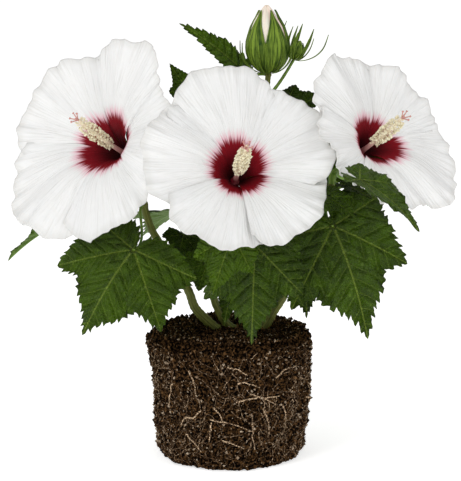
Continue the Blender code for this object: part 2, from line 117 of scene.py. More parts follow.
def sheet_shares(rows: int, columns: int) -> tuple[Array, Array]:
    """For a grid of points, the share of the way along, and the place across from -1 to 1."""
    along = np.linspace(0, 1, rows)[:, None] * np.ones((1, columns))
    return along, np.linspace(-1, 1, columns)[None, :] * np.ones((rows, 1))


def grid_faces(rows: int, columns: int, closed: bool = False) -> Array:
    """The quads of a grid of points.

    Args:
        rows: Number of rows of points.
        columns: Number of points in a row.
        closed: Whether the last point of a row joins the first.

    Returns:
        One row of four point numbers for each quad.
    """
    wide = columns if closed else columns - 1
    row, column = np.meshgrid(np.arange(rows - 1), np.arange(wide), indexing="ij")
    after = (column + 1) % columns
    below, above = row * columns, (row + 1) * columns
    return np.stack([below + column, below + after, above + after, above + column], -1).reshape(-1, 4)


def grid_normals(grid: Array, closed: bool) -> Array:
    """Normals of a grid of points, out of the side where its quads run counter-clockwise."""
    if closed:
        across = np.roll(grid, -1, axis=1) - np.roll(grid, 1, axis=1)
    else:
        across = np.gradient(grid, axis=1)
    return unit(np.cross(across, np.gradient(grid, axis=0)))


class Slot(Enum):
    """Which of a piece's two materials a stretch of surface wears."""

    UPPER = 0
    UNDER = 1


@dataclass
class Patch:
    """A stretch of surface: its points, faces, pattern coordinates at the faces' corners, and a tone."""

    points: Array
    faces: list[Array]
    pattern: list[Array]
    tone: float = EVEN_TONE
    slots: list[Slot] = field(default_factory=list)


@dataclass
class Piece:
    """Patches gathered into one object."""

    name: str
    materials: list[Material]
    replaces: list[str]
    slot: str
    patches: list[Patch]

    def build(self) -> None:
        """Joins the patches and hands the object to the frame."""
        mesh = bpy.data.meshes.new(self.name)
        counts = [len(patch.points) for patch in self.patches]
        starts = np.cumsum([0] + counts[:-1])
        points = np.concatenate([patch.points for patch in self.patches])
        corners, sizes, pattern, slots = [], [], [], []
        for start, patch in zip(starts, self.patches):
            worn = patch.slots or [Slot.UPPER] * len(patch.faces)
            for faces, spots, slot in zip(patch.faces, patch.pattern, worn):
                corners.append((faces + start).ravel())
                sizes.append(np.full(len(faces), faces.shape[1]))
                pattern.append(spots.reshape(-1, 2))
                slots.append(np.full(len(faces), slot.value))
        corner, size = np.concatenate(corners), np.concatenate(sizes)
        mesh.vertices.add(len(points))
        mesh.vertices.foreach_set("co", points.astype(np.float32).ravel())
        mesh.loops.add(len(corner))
        mesh.loops.foreach_set("vertex_index", corner.astype(np.int32))
        mesh.polygons.add(len(size))
        first = np.concatenate([[0], np.cumsum(size)[:-1]])
        mesh.polygons.foreach_set("loop_start", first.astype(np.int32))
        mesh.polygons.foreach_set("material_index", np.concatenate(slots).astype(np.int32))
        mesh.polygons.foreach_set("use_smooth", np.ones(len(size), dtype=bool))
        mesh.update(calc_edges=True)
        layer = mesh.uv_layers.new(name=PATTERN)
        layer.data.foreach_set("uv", np.concatenate(pattern).astype(np.float32).ravel())
        tones = np.repeat([patch.tone for patch in self.patches], counts)
        mesh.attributes.new(TONE, "FLOAT", "POINT").data.foreach_set("value", tones.astype(np.float32))
        mesh.validate()
        for material in self.materials:
            mesh.materials.append(material)
        piece = bpy.data.objects.new(self.name, mesh)
        bpy.context.scene.collection.objects.link(piece)
        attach(piece, BODY)
        if self.replaces:
            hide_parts(*self.replaces)
        log.info("%s: %d points, %d faces", self.name, len(points), len(size))


def thin_sheet(grid: Array, pattern: Array, thickness: float, tone: float = EVEN_TONE) -> Patch:
    """A closed thin sheet round a grid of points.

    Args:
        grid: Points of the middle surface, rows by columns by three.
        pattern: Pattern coordinates of the same points.
        thickness: Distance between the two faces.
        tone: The sheet's own tone.

    Returns:
        A patch with its upper face, its under face and its rim.
    """
    rows, columns = grid.shape[:2]
    lift = grid_normals(grid, False) * (thickness / 2)
    faces = grid_faces(rows, columns)
    total = rows * columns
    points = np.concatenate([(grid + lift).reshape(-1, 3), (grid - lift).reshape(-1, 3)])
    spots = np.concatenate([pattern.reshape(-1, 2)] * 2)
    number = np.arange(total).reshape(rows, columns)
    here = np.concatenate([number[0], number[1:, -1], number[-1, -2::-1], number[-2:0:-1, 0]])
    after = np.roll(here, -1)
    lists = [faces, faces[:, ::-1] + total, np.stack([after, here, here + total, after + total], -1)]
    return Patch(points, lists, [spots[part] for part in lists], tone, [Slot.UPPER, Slot.UNDER, Slot.UPPER])


def curve_points(places: Array, shares: Array) -> Array:
    """Points of the smooth curve through the places, at these shares of its spans."""
    spans = len(places) - 1
    span = np.minimum((shares * spans).astype(int), spans - 1)
    part = (shares * spans - span)[:, None]
    before, start = places[np.maximum(span - 1, 0)], places[span]
    end, after = places[span + 1], places[np.minimum(span + 2, spans)]
    square, cube = part**2, part**3
    leave, arrive = (end - before) * 0.5, (after - start) * 0.5
    return (start * (2 * cube - 3 * square + 1) + leave * (cube - 2 * square + part)
            + end * (3 * square - 2 * cube) + arrive * (cube - square))


def smooth_line(points: Array) -> Array:
    """A line's points, each moved to the middle of itself and its neighbours; the ends stay."""
    smooth = points.copy()
    smooth[1:-1] = (points[:-2] + points[1:-1] + points[2:]) / 3
    return smooth


def tube(
    centres: Array, radii: Array, sides: int, tone: float, relief: float = 0.0, cap: bool = True
) -> Patch:
    """A round tube along a line of points.

    Args:
        centres: Points of the middle line.
        radii: Radius at each point.
        sides: Points round the tube.
        tone: The tube's own tone.
        relief: Height of its lengthwise ribs, as a share of the radius.
        cap: Whether both ends are closed.

    Returns:
        A patch whose pattern runs round the tube and along it, in metres.
    """
    ways = unit(np.gradient(centres, axis=0))
    across = unit(np.cross(ways[0], (0.31, 0.17, 0.93)))
    angles = np.linspace(0, FULL_TURN, sides, endpoint=False)
    ribs = 1 + relief * (np.sin(5 * angles + tone * 9) + 0.6 * np.sin(8 * angles))
    rings = []
    for centre, way, radius in zip(centres, ways, radii):
        across = unit(across - way * np.dot(across, way))
        rings.append(centre + spoke(angles, across, np.cross(way, across)) * (radius * ribs)[:, None])
    run = run_along(centres)[:, None]
    spots = np.stack(np.broadcast_arrays(angles[None, :] * radii[0], run), -1).reshape(-1, 2)
    lists = [grid_faces(len(centres), sides, True)]
    if cap:
        ring = np.arange(sides)[None, :]
        lists += [ring[:, ::-1], (len(centres) - 1) * sides + ring]
    return Patch(np.concatenate(rings), lists, [spots[part] for part in lists], tone)


def speck(place: Array, size: float, draw: Draw, tone: float) -> Patch:
    """A small uneven lump with eight faces."""
    ways = np.array([(1, 0, 0), (0, 1, 0), (-1, 0, 0), (0, -1, 0), (0, 0, 1), (0, 0, -1)], dtype=float)
    points = place + ways * size * draw.uniform(0.55, 1.25, (6, 1)) + draw.normal(0, 0.16 * size, (6, 3))
    faces = np.array([(0, 1, 4), (1, 2, 4), (2, 3, 4), (3, 0, 4), (1, 0, 5), (2, 1, 5), (3, 2, 5), (0, 3, 5)])
    return Patch(points, [faces], [np.zeros((8, 3, 2))], tone)


@dataclass(frozen=True)
class Graph:
    """Writes shader nodes into a tree."""

    tree: Tree

    def node(self, kind: str, **settings: object) -> Node:
        """A new node with its settings."""
        made = self.tree.nodes.new(f"ShaderNode{kind}")
        for name, value in settings.items():
            setattr(made, name, value)
        return made

    def put(self, socket: Socket, value: object) -> None:
        """Links a socket into an input, or sets the input's value."""
        if isinstance(value, bpy.types.NodeSocket):
            self.tree.links.new(value, socket)
        elif isinstance(value, tuple) and socket.type == "RGBA":
            socket.default_value = (*value, 1.0)
        else:
            socket.default_value = value

    def fill(self, made: Node, values: dict[object, object]) -> Node:
        """The node with its inputs, named or numbered, set to these values."""
        for name, value in values.items():
            self.put(made.inputs[name], value)
        return made

    def math(self, operation: str, first: object, second: object) -> Socket:
        """The result of one sum on two values."""
        return self.fill(self.node("Math", operation=operation), {0: first, 1: second}).outputs[0]

    def times(self, first: object, second: object) -> Socket:
        """The product of two values."""
        return self.math("MULTIPLY", first, second)

    def minus(self, first: object, second: object) -> Socket:
        """The first value less the second."""
        return self.math("SUBTRACT", first, second)

    def total(self, *parts: tuple[object, float]) -> Socket:
        """The sum of values, each taken at its own weight."""
        result = self.times(*parts[0])
        for value, weight in parts[1:]:
            result = self.math("ADD", result, self.times(value, weight))
        return result

    def mix(self, share: object, first: object, second: object) -> Socket:
        """A colour between two colours."""
        values = {"Factor": share, 6: first, 7: second}
        return self.fill(self.node("Mix", data_type="RGBA"), values).outputs[2]

    def stain(self, colour: object, over: object, mask: Socket, weight: float) -> Socket:
        """A colour with another laid over it where the mask is, at a weight."""
        return self.mix(self.times(mask, weight), colour, over)

    def band(
        self, value: object, low: object, high: object, to_low: float = 0.0, to_high: float = 1.0
    ) -> Socket:
        """A soft step of a value between two limits."""
        made = self.node("MapRange", interpolation_type="SMOOTHSTEP")
        limits = {"From Min": low, "From Max": high, "To Min": to_low, "To Max": to_high}
        return self.fill(made, {"Value": value} | limits).outputs["Result"]

    def noise(self, vector: Socket, scale: object, detail: float = 3.0) -> Socket:
        """Soft noise from 0 to 1."""
        values = {"Vector": vector, "Scale": scale, "Detail": detail}
        return self.fill(self.node("TexNoise"), values).outputs["Fac"]

    def streaks(
        self, spots: tuple[Socket, Socket], scales: tuple[float, float], seed: object, detail: float
    ) -> Socket:
        """Noise over the pattern coordinates, drawn out by a scale for each."""
        values = {0: self.times(spots[0], scales[0]), 1: self.times(spots[1], scales[1]), 2: seed}
        return self.noise(self.fill(self.node("CombineXYZ"), values).outputs[0], 1.0, detail)

    def cells(self, vector: Socket, scale: float) -> Socket:
        """Distance to the edges of small cells."""
        made = self.node("TexVoronoi", feature="DISTANCE_TO_EDGE")
        return self.fill(made, {"Vector": vector, "Scale": scale}).outputs["Distance"]

    def place(self) -> Socket:
        """Where a point is, in metres."""
        return self.node("TexCoord").outputs["Object"]

    def pattern(self) -> tuple[Socket, Socket]:
        """The two pattern coordinates."""
        parts = self.fill(self.node("SeparateXYZ"), {0: self.node("UVMap", uv_map=PATTERN).outputs[0]})
        return parts.outputs[0], parts.outputs[1]

    def tone(self) -> Socket:
        """The tone of the stretch of surface."""
        return self.node("Attribute", attribute_name=TONE).outputs["Fac"]

    def group(self, tree: Tree, **values: object) -> bpy.types.NodeOutputs:
        """What a shared effect puts out for its inputs."""
        return self.fill(self.node("Group", node_tree=tree), values).outputs

    def bump(self, height: Socket, distance: float) -> Socket:
        """A normal from a height between 0 and 1."""
        return self.fill(self.node("Bump"), {"Height": height, "Distance": distance}).outputs[0]


def new_group(name: str, inputs: tuple[str, ...], outputs: tuple[str, ...]) -> tuple[Graph, Node, Node]:
    """A new node group of plain values.

    Args:
        name: The group's name.
        inputs: Names of its inputs.
        outputs: Names of its outputs.

    Returns:
        A writer for it, its input node and its output node.
    """
    tree = bpy.data.node_groups.new(name, "ShaderNodeTree")
    for way, titles in (("INPUT", inputs), ("OUTPUT", outputs)):
        for title in titles:
            tree.interface.new_socket(title, in_out=way, socket_type="NodeSocketFloat")
    return Graph(tree), tree.nodes.new("NodeGroupInput"), tree.nodes.new("NodeGroupOutput")


def mottle_group() -> Tree:
    """Broad and fine mottling, from 0 to 1, at a given size in metres."""
    graph, given, told = new_group("mottle", ("Size", "Fine"), ("Mask", "Height"))
    scale = graph.math("DIVIDE", 1.0, given.outputs["Size"])
    spot = graph.place()
    broad = graph.noise(spot, scale, 2.0)
    fine = graph.noise(spot, graph.times(scale, given.outputs["Fine"]))
    graph.fill(told, {"Mask": graph.band(broad, 0.34, 0.66), "Height": fine})
    return graph.tree


def vein_group() -> Tree:
    """The veins of a blade, from how far along the nearest main vein a point is and how far beside it."""
    inputs, outputs = ("Along", "Beside", "Count"), ("Main", "Side", "Cushion", "Net")
    graph, given, told = new_group("blade_veins", inputs, outputs)
    along, beside = given.outputs["Along"], given.outputs["Beside"]
    narrow = graph.total((along, -0.0075), (1.0, 0.0115))
    main = graph.band(beside, graph.times(narrow, 0.45), graph.times(narrow, 1.3), 1.0, 0.0)
    slant = graph.minus(along, graph.times(beside, VEIN_SLANT))
    phase = graph.math("FRACT", graph.times(slant, given.outputs["Count"]), 0.0)
    off = graph.math("MINIMUM", phase, graph.minus(1.0, phase))
    side = graph.times(graph.band(off, 0.014, 0.052, 1.0, 0.0), graph.band(beside, 0.02, 0.34, 1.0, 0.25))
    cushion = graph.times(graph.band(off, 0.0, 0.42), graph.band(beside, 0.0, 0.05))
    net = graph.band(graph.cells(graph.place(), 420.0), 0.0, 0.22)
    graph.fill(told, {"Main": main, "Side": side, "Cushion": cushion, "Net": net})
    return graph.tree


@dataclass(frozen=True)
class Effects:
    """The shared effects."""

    mottle: Tree
    veins: Tree


@dataclass(frozen=True)
class Finish:
    """A finish made from one Principled shader."""

    name: str
    roughness: float
    gloss: float
    relief: float

    def material(self, effects: Effects) -> Material:
        """Makes the material.

        Args:
            effects: The shared effects.

        Returns:
            The new material.
        """
        material = bpy.data.materials.new(self.name)
        material.use_nodes = True
        graph = Graph(material.node_tree)
        shader = material.node_tree.nodes["Principled BSDF"]
        graph.fill(shader, {"Roughness": self.roughness, "Specular IOR Level": self.gloss})
        colour, height = self.surface(graph, effects, shader)
        graph.fill(shader, {"Base Color": colour, "Normal": graph.bump(height, self.relief)})
        return material

    def surface(self, graph: Graph, effects: Effects, shader: Node) -> tuple[Socket, Socket]:
        """The colour and the height of the surface; each kind of finish has its own."""
        raise NotImplementedError


@dataclass(frozen=True)
class PetalFinish(Finish):
    """White petals with a crimson eye that bleeds outwards along the veins."""

    white: Colour = (0.90, 0.895, 0.885)
    # The grey of the veins, also laid along the margin as painted shade
    vein: Colour = (0.62, 0.61, 0.57)
    blush: Colour = (0.82, 0.28, 0.40)
    crimson: Colour = (0.200, 0.0004, 0.006)
    throat: Colour = (0.030, 0.0003, 0.0015)
    eye: float = 0.345
    feather: float = 0.10
    broad_rays: tuple[float, float] = (30.0, 1.6)
    fine_rays: tuple[float, float] = (74.0, 2.6)
    glow: float = 0.12
    glow_colour: Colour = (1.0, 0.8, 0.7)
    glow_depth: float = 0.004

    def surface(self, graph: Graph, effects: Effects, shader: Node) -> tuple[Socket, Socket]:
        """White with veins and a margin darkened as painted shade, then the eye from its blush to its throat.
        """
        spots = graph.pattern()
        along = spots[1]
        rays = graph.streaks(spots, self.broad_rays, 0.0, 4.0)
        fine = graph.streaks(spots, self.fine_rays, 3.0, 3.0)
        reach = graph.math("ADD", self.eye, graph.times(graph.minus(rays, 0.5), 2 * self.feather))
        past = graph.minus(along, reach)
        mottle = graph.group(effects.mottle, Size=0.02, Fine=6.0)
        colour = graph.stain(self.white, self.vein, graph.band(fine, 0.46, 0.78), 0.42)
        colour = graph.stain(colour, self.vein, mottle["Mask"], 0.06)
        # painted shade: the petal's margin darkened towards the vein grey, standing in for shade near its
        # edge
        colour = graph.mix(graph.band(along, 0.90, 1.0, 0.0, 0.38), colour, self.vein)
        colour = graph.mix(graph.band(past, -0.03, 0.10, 0.80, 0.0), colour, self.blush)
        colour = graph.mix(graph.band(past, -0.035, 0.030, 1.0, 0.0), colour, self.crimson)
        colour = graph.mix(graph.band(along, 0.05, 0.33, 0.95, 0.0), colour, self.throat)
        graph.fill(shader, {"Subsurface Weight": self.glow, "Subsurface Radius": self.glow_colour,
                            "Subsurface Scale": self.glow_depth})
        return colour, graph.total((rays, 0.6), (fine, 0.4))


@dataclass(frozen=True)
class BladeFinish(Finish):
    """One face of a leaf, with its palmate veins."""

    deep: Colour = (0.0045, 0.0150, 0.0002)
    fresh: Colour = (0.078, 0.160, 0.0040)
    vein: Colour = (0.25, 0.33, 0.045)
    vein_share: float = 0.52

    def surface(self, graph: Graph, effects: Effects, shader: Node) -> tuple[Socket, Socket]:
        """Green by the leaf's tone, with a pale net, side veins and main veins, and uneven gloss."""
        along, beside = graph.pattern()
        veins = graph.group(effects.veins, Along=along, Beside=beside, Count=SIDE_VEINS)
        mottle = graph.group(effects.mottle, Size=0.012, Fine=9.0)
        fresh = graph.total((graph.tone(), 0.75), (mottle["Mask"], 0.34))
        colour = graph.mix(fresh, self.deep, self.fresh)
        pale = graph.mix(0.45, colour, self.vein)
        colour = graph.stain(colour, pale, graph.minus(1.0, veins["Net"]), 0.22)
        colour = graph.stain(colour, self.vein, veins["Side"], self.vein_share * 0.45)
        colour = graph.stain(colour, self.vein, veins["Main"], self.vein_share)
        grain = mottle["Height"]
        rough = graph.band(grain, 0.3, 0.7, self.roughness - 0.06, self.roughness + 0.10)
        graph.fill(shader, {"Roughness": rough})
        return colour, graph.total((veins["Cushion"], 0.6), (veins["Net"], 0.25), (grain, 0.15))


@dataclass(frozen=True)
class StreakFinish(Finish):
    """Skin with lengthwise streaks: stems, calyces and buds."""

    base: Colour
    streak: Colour
    blemish: Colour = (0.07, 0.05, 0.02)
    blemish_share: float = 0.5
    scales: tuple[float, float] = (900.0, 60.0)

    def surface(self, graph: Graph, effects: Effects, shader: Node) -> tuple[Socket, Socket]:
        """Streaks with small blemishes."""
        lines = graph.streaks(graph.pattern(), self.scales, graph.tone(), 4.0)
        mottle = graph.group(effects.mottle, Size=0.006, Fine=8.0)
        colour = graph.mix(graph.band(lines, 0.40, 0.62), self.base, self.streak)
        marks = graph.band(mottle["Height"], 0.56, 0.72)
        colour = graph.stain(colour, self.blemish, marks, self.blemish_share)
        colour = graph.stain(colour, self.streak, mottle["Mask"], 0.25)
        return colour, graph.total((lines, 0.7), (mottle["Height"], 0.3))


@dataclass(frozen=True)
class ColumnFinish(Finish):
    """The staminal column: red at its foot and cream further out."""

    foot: Colour = (0.30, 0.012, 0.030)
    middle: Colour = (0.74, 0.36, 0.33)
    cream: Colour = (0.90, 0.82, 0.62)

    def surface(self, graph: Graph, effects: Effects, shader: Node) -> tuple[Socket, Socket]:
        """Three colours along the column."""
        along = graph.pattern()[1]
        mottle = graph.group(effects.mottle, Size=0.004, Fine=5.0)
        colour = graph.mix(graph.band(along, 0.003, 0.013), self.foot, self.middle)
        colour = graph.mix(graph.band(along, 0.012, 0.030), colour, self.cream)
        return graph.stain(colour, self.middle, mottle["Mask"], 0.2), mottle["Height"]


@dataclass(frozen=True)
class PlainFinish(Finish):
    """A mottled finish of two colours and a grain: peat, roots, grains, stamens and stigmas."""

    dark: Colour
    light: Colour
    size: float
    fine: float

    def surface(self, graph: Graph, effects: Effects, shader: Node) -> tuple[Socket, Socket]:
        """Light patches by the tone and the mottling, with painted shade darkening the pits."""
        mottle = graph.group(effects.mottle, Size=self.size, Fine=self.fine)
        share = graph.total((mottle["Mask"], 0.45), (graph.tone(), 0.55))
        # painted shade: where the grain's bump height is low the colour falls to the dark one, as shade in
        # the pits
        share = graph.times(share, graph.band(mottle["Height"], 0.44, 0.62))
        return graph.mix(share, self.dark, self.light), mottle["Height"]


FINISHES = {
    "petal": [PetalFinish("petal_white", 0.60, 0.14, 0.0021)],
    "leaf": [
        BladeFinish("leaf_upper", 0.30, 0.22, 0.0060),
        BladeFinish("leaf_under", 0.60, 0.20, -0.0016, (0.055, 0.12, 0.018), (0.13, 0.22, 0.040),
                    (0.28, 0.42, 0.12), 0.85),
    ],
    "stem": [StreakFinish("stem_skin", 0.50, 0.25, 0.0006, (0.080, 0.092, 0.016), (0.21, 0.225, 0.045))],
    "stalk": [StreakFinish("stalk_skin", 0.48, 0.25, 0.0006, (0.09, 0.19, 0.022), (0.23, 0.35, 0.06),
                           blemish_share=0.15)],
    "calyx": [StreakFinish("calyx_skin", 0.42, 0.16, 0.0014, (0.014, 0.048, 0.0008), (0.22, 0.33, 0.035),
                           (0.006, 0.020, 0.0006), 0.35, (7.0, 1.0))],
    "bud_petal": [StreakFinish("bud_petal", 0.55, 0.20, 0.0006, (0.90, 0.86, 0.73), (0.88, 0.70, 0.60),
                               (0.62, 0.36, 0.28), 0.20, (6.0, 1.0))],
    "column": [ColumnFinish("column_cream", 0.60, 0.28, 0.0004)],
    "anther": [PlainFinish("anther_cream", 0.75, 0.15, 0.0004, (0.91, 0.83, 0.58), (0.99, 0.96, 0.80),
                           0.003, 5.0)],
    "stigma": [PlainFinish("stigma_red", 0.70, 0.15, 0.0003, (0.58, 0.27, 0.24), (0.86, 0.60, 0.52),
                           0.002, 5.0)],
    "peat": [PlainFinish("peat", 0.95, 0.04, 0.0050, (0.0010, 0.0003, 0.0001), (0.215, 0.108, 0.040),
                         0.0044, 1.9)],
    "crumb": [PlainFinish("peat_crumbs", 0.95, 0.04, 0.0014, (0.0010, 0.0003, 0.0001), (0.270, 0.145, 0.062),
                          0.003, 1.6)],
    "fibre": [PlainFinish("root_fibres", 0.80, 0.10, 0.0003, (0.050, 0.022, 0.008), (0.80, 0.58, 0.37),
                          0.006, 6.0)],
    "grain": [PlainFinish("pale_grains", 0.85, 0.12, 0.0003, (0.22, 0.13, 0.07), (0.86, 0.74, 0.56),
                          0.002, 4.0)],
}


def make_materials() -> Materials:
    """The shared effects, then every material of the plant."""
    effects = Effects(mottle_group(), vein_group())
    return {key: [finish.material(effects) for finish in finishes] for key, finishes in FINISHES.items()}


class LimbKind(Enum):
    """The material slot of a limb."""

    STEM = "stem"
    STALK = "stalk"


@dataclass(frozen=True)
class Limb:
    """A stem or stalk: the places that its middle line passes and its radius at each end."""

    name: str
    kind: LimbKind
    places: tuple
    start_radius: float
    end_radius: float
    spans: int = 60

    def line(self, count: int) -> Array:
        """Points of the middle line, evenly shared out."""
        return curve_points(np.array(self.places, dtype=float), np.linspace(0, 1, count))

    def radius(self, share: Array) -> Array:
        """The radius at a share of the limb."""
        return self.start_radius + share * (self.end_radius - self.start_radius)

    def at(self, share: float) -> tuple[Array, Array]:
        """The middle and the way on at a share of the limb."""
        line = self.line(self.spans + 1)
        spot = share * self.spans
        number = min(int(spot), self.spans - 1)
        step = line[number + 1] - line[number]
        return line[number] + step * (spot - number), unit(step)


@dataclass(frozen=True)
class Bloom:
    """An open flower: the foot of its pistil, where it faces, and the reach and flare of its petals."""

    name: str
    foot: tuple
    faces: tuple
    first_petal: float
    lengths: tuple
    flares: tuple
    pistil: float
    bend: float

    @cached_property
    def axes(self) -> tuple[Array, Array, Array]:
        """Where the bloom faces, its right and its up."""
        faces = unit(np.array(self.faces, dtype=float))
        right = unit(np.cross(UP, faces))
        return faces, right, np.cross(faces, right)

    def round_the_petals(self, values: tuple, turn: Array) -> Array:
        """A value between those of the petals, smooth all the way round."""
        place = np.mod(turn, PETALS)
        petal = np.floor(place).astype(int) % PETALS
        share = smooth_step(place - np.floor(place))
        ring = np.array(values, dtype=float)
        return ring[petal] + share * (ring[(petal + 1) % PETALS] - ring[petal])

    def surface(self, along: Array, turn: Array, outward: Array, own: int | None = None) -> Array:
        """Points of the corolla.

        Args:
            along: Share of the petals' length.
            turn: Place round the bloom, counted in petals.
            outward: Distance behind the corolla's inner face.
            own: The petal whose margin is rounded, or None for the nearest.

        Returns:
            One point for each place.
        """
        faces, right, up = self.axes
        beside = np.abs(turn - (np.round(turn) if own is None else own)) * 2
        length = self.round_the_petals(self.lengths, turn) * (1 - MARGIN_ROUND * beside**3)
        flare = np.radians(self.round_the_petals(self.flares, turn))
        radius, height = np.full(along.shape, THROAT_RADIUS), np.zeros(along.shape)
        for step in range(FLARE_STEPS):
            share = along * (step + 0.5) / FLARE_STEPS
            slope = THROAT_ANGLE + (flare - THROAT_ANGLE) * smooth_step(share / FLARE_END)
            radius = radius + np.sin(slope) * length * along / FLARE_STEPS
            height = height + np.cos(slope) * length * along / FLARE_STEPS
        radius = radius + outward * np.cos(slope)
        height = height - outward * np.sin(slope)
        angle = math.radians(self.first_petal) + FULL_TURN * turn / PETALS
        return np.array(self.foot) + spoke(angle, up, right) * radius[..., None] + faces * height[..., None]


@dataclass(frozen=True)
class Leaf:
    """A leaf: where stalk meets blade, its tip, where its upper face looks, and where it grows."""

    name: str
    junction: tuple
    tip: tuple
    faces: tuple
    width: float
    lobes: float
    folds: tuple
    droop: float
    limb: str
    along: float
    tone: float

    def axes(self) -> tuple[float, Array, Array, Array]:
        """Length of the blade and its own axes: to the tip, to its left and out of its upper face."""
        chord = np.array(self.tip, dtype=float) - np.array(self.junction, dtype=float)
        length, chord = float(np.linalg.norm(chord)), unit(chord)
        normal = np.array(self.faces, dtype=float)
        normal = unit(normal - chord * np.dot(normal, chord))
        lean = math.atan(self.droop)
        ahead = chord * math.cos(lean) + normal * math.sin(lean)
        above = normal * math.cos(lean) - chord * math.sin(lean)
        return length * math.cos(lean), ahead, np.cross(above, ahead), above


BLOOMS = (
    Bloom("left_bloom", (-0.0965, 0.006, 0.285), (-0.673, -0.556, 0.488), 0,
          (0.112, 0.083, 0.102, 0.125, 0.127), (84, 90, 104, 86, 78), 0.078, 0.006),
    Bloom("centre_bloom", (0.004, -0.048, 0.268), (0.16, -0.83, 0.53), -8,
          (0.112, 0.100, 0.093, 0.093, 0.100), (92, 88, 86, 86, 88), 0.072, 0.004),
    Bloom("right_bloom", (0.1205, 0.0, 0.288), (0.59, -0.619, 0.519), -25,
          (0.098, 0.092, 0.114, 0.072, 0.076), (84, 82, 102, 86, 86), 0.074, 0.005),
)

BUD_FOOT = (0.0358, 0.028, 0.3610)
SMALL_BUD_FOOT = (0.0600, 0.030, 0.3735)

LEFT_LEAVES = (
    Leaf("leaf_left_front", (-0.089, -0.050, 0.205), (-0.134, -0.085, 0.132), (-0.25, -0.75, 0.60), 1.10, 1.0,
         (-0.50, 0.05), 0.30, "stem_left", 0.86, 0.60),
    Leaf("leaf_far_left", (-0.147, 0.004, 0.227), (-0.209, -0.014, 0.190), (-0.30, 0.30, 0.90), 0.60, 0.4,
         (0.25, 0.25), 0.20, "stem_left", 0.93, 0.70),
    Leaf("leaf_left_rear", (-0.045, 0.020, 0.207), (-0.022, 0.002, 0.178), (0.20, -0.60, 0.70), 0.90, 1.0,
         (0.10, 0.10), 0.20, "stem_left", 0.60, 0.15),
    Leaf("leaf_left_inner", (-0.022, -0.022, 0.187), (-0.058, -0.032, 0.173), (-0.10, -0.55, 0.80), 1.20, 1.0,
         (-0.10, -0.10), 0.20, "stem_centre", 0.45, 0.85),
    Leaf("leaf_centre_pale", (0.002, -0.0935, 0.2253), (-0.016, -0.1085, 0.174), (0.00, -0.60, 0.80),
         0.95, 1.0, (0.10, -0.20), 0.20, "stem_centre", 0.92, 0.95),
    Leaf("leaf_centre_dark", (0.004, -0.036, 0.184), (-0.006, -0.046, 0.133), (0.00, -0.90, 0.30), 0.60, 0.5,
         (0.15, 0.15), 0.20, "stem_centre", 0.60, 0.25),
    Leaf("leaf_front", (0.022, -0.066, 0.212), (0.019, -0.086, 0.124), (0.00, -0.90, 0.40), 0.90, 1.0,
         (0.05, -0.50), 0.25, "stem_centre", 0.98, 0.45),
)
RIGHT_LEAVES = (
    Leaf("leaf_right_inner", (0.070, -0.030, 0.205), (0.070, -0.048, 0.140), (0.10, -0.90, 0.30), 0.75, 0.9,
         (0.10, -0.30), 0.20, "stem_right", 0.45, 0.20),
    Leaf("leaf_right_front", (0.094, -0.045, 0.226), (0.126, -0.075, 0.128), (0.25, -0.80, 0.50), 0.95, 1.0,
         (0.05, -0.55), 0.30, "stem_right", 0.80, 0.50),
    Leaf("leaf_right_rear", (0.112, 0.010, 0.218), (0.150, 0.034, 0.221), (0.00, -0.30, 0.90), 0.90, 1.0,
         (0.10, 0.10), 0.20, "stem_right", 0.70, 0.30),
    Leaf("leaf_right_outer", (0.115, -0.090, 0.275), (0.168, -0.100, 0.230), (0.20, -0.30, 0.90), 0.70, 0.4,
         (0.20, 0.20), 0.30, "stalk_right", 0.35, 0.60),
    Leaf("leaf_right_young", (0.089, -0.030, 0.251), (0.115, -0.048, 0.233), (0.10, -0.50, 0.80), 0.80, 0.9,
         (0.10, 0.10), 0.15, "stem_right", 0.88, 0.90),
    Leaf("leaf_right_narrow", (0.106, -0.016, 0.260), (0.131, -0.034, 0.249), (0.10, -0.40, 0.90), 0.55, 0.3,
         (0.10, 0.10), 0.15, "stem_right", 0.93, 0.20),
    Leaf("leaf_between_blooms", (0.102, 0.020, 0.262), (0.097, 0.024, 0.304), (0.10, -0.95, 0.10), 0.80, 0.5,
         (0.25, 0.25), 0.10, "stalk_right", 0.25, 0.75),
    Leaf("leaf_top", (0.009, 0.040, 0.364), (-0.048, 0.030, 0.407), (-0.20, -0.60, 0.70), 0.40, 0.3,
         (0.20, 0.20), 0.20, "stem_bud", 0.97, 0.95),
    Leaf("leaf_top_left", (-0.036, 0.046, 0.335), (-0.058, 0.046, 0.368), (0.00, -0.90, 0.30), 0.75, 0.8,
         (0.10, 0.10), 0.15, "stem_bud", 0.80, 0.80),
    Leaf("leaf_top_right", (0.050, 0.050, 0.322), (0.092, 0.055, 0.338), (0.00, -0.90, 0.40), 0.80, 0.8,
         (0.10, 0.10), 0.15, "stem_bud", 0.85, 0.20),
    Leaf("leaf_centre_right", (0.080, 0.018, 0.220), (0.054, 0.008, 0.193), (-0.20, -0.70, 0.60), 0.80, 0.8,
         (0.10, 0.10), 0.20, "stem_right", 0.62, 0.45),
)

# The rear of the crown: limb, share of the limb, bearing from +X, height and distance out
REAR_PLACES = (
    ("stem_left", 0.88, 158, 0.262, 0.118), ("stem_centre", 0.80, 128, 0.226, 0.064),
    ("stem_bud", 0.45, 84, 0.242, 0.072), ("stem_right", 0.78, 42, 0.231, 0.114),
    ("stem_right", 0.92, 26, 0.262, 0.140), ("stem_bud", 0.58, 112, 0.278, 0.068),
    ("stem_bud", 0.66, 58, 0.284, 0.068), ("stem_bud", 0.76, 148, 0.300, 0.066),
    ("stem_bud", 0.86, 91, 0.327, 0.074),
)
REAR_REACH = 0.078
REAR_FALL = 0.036


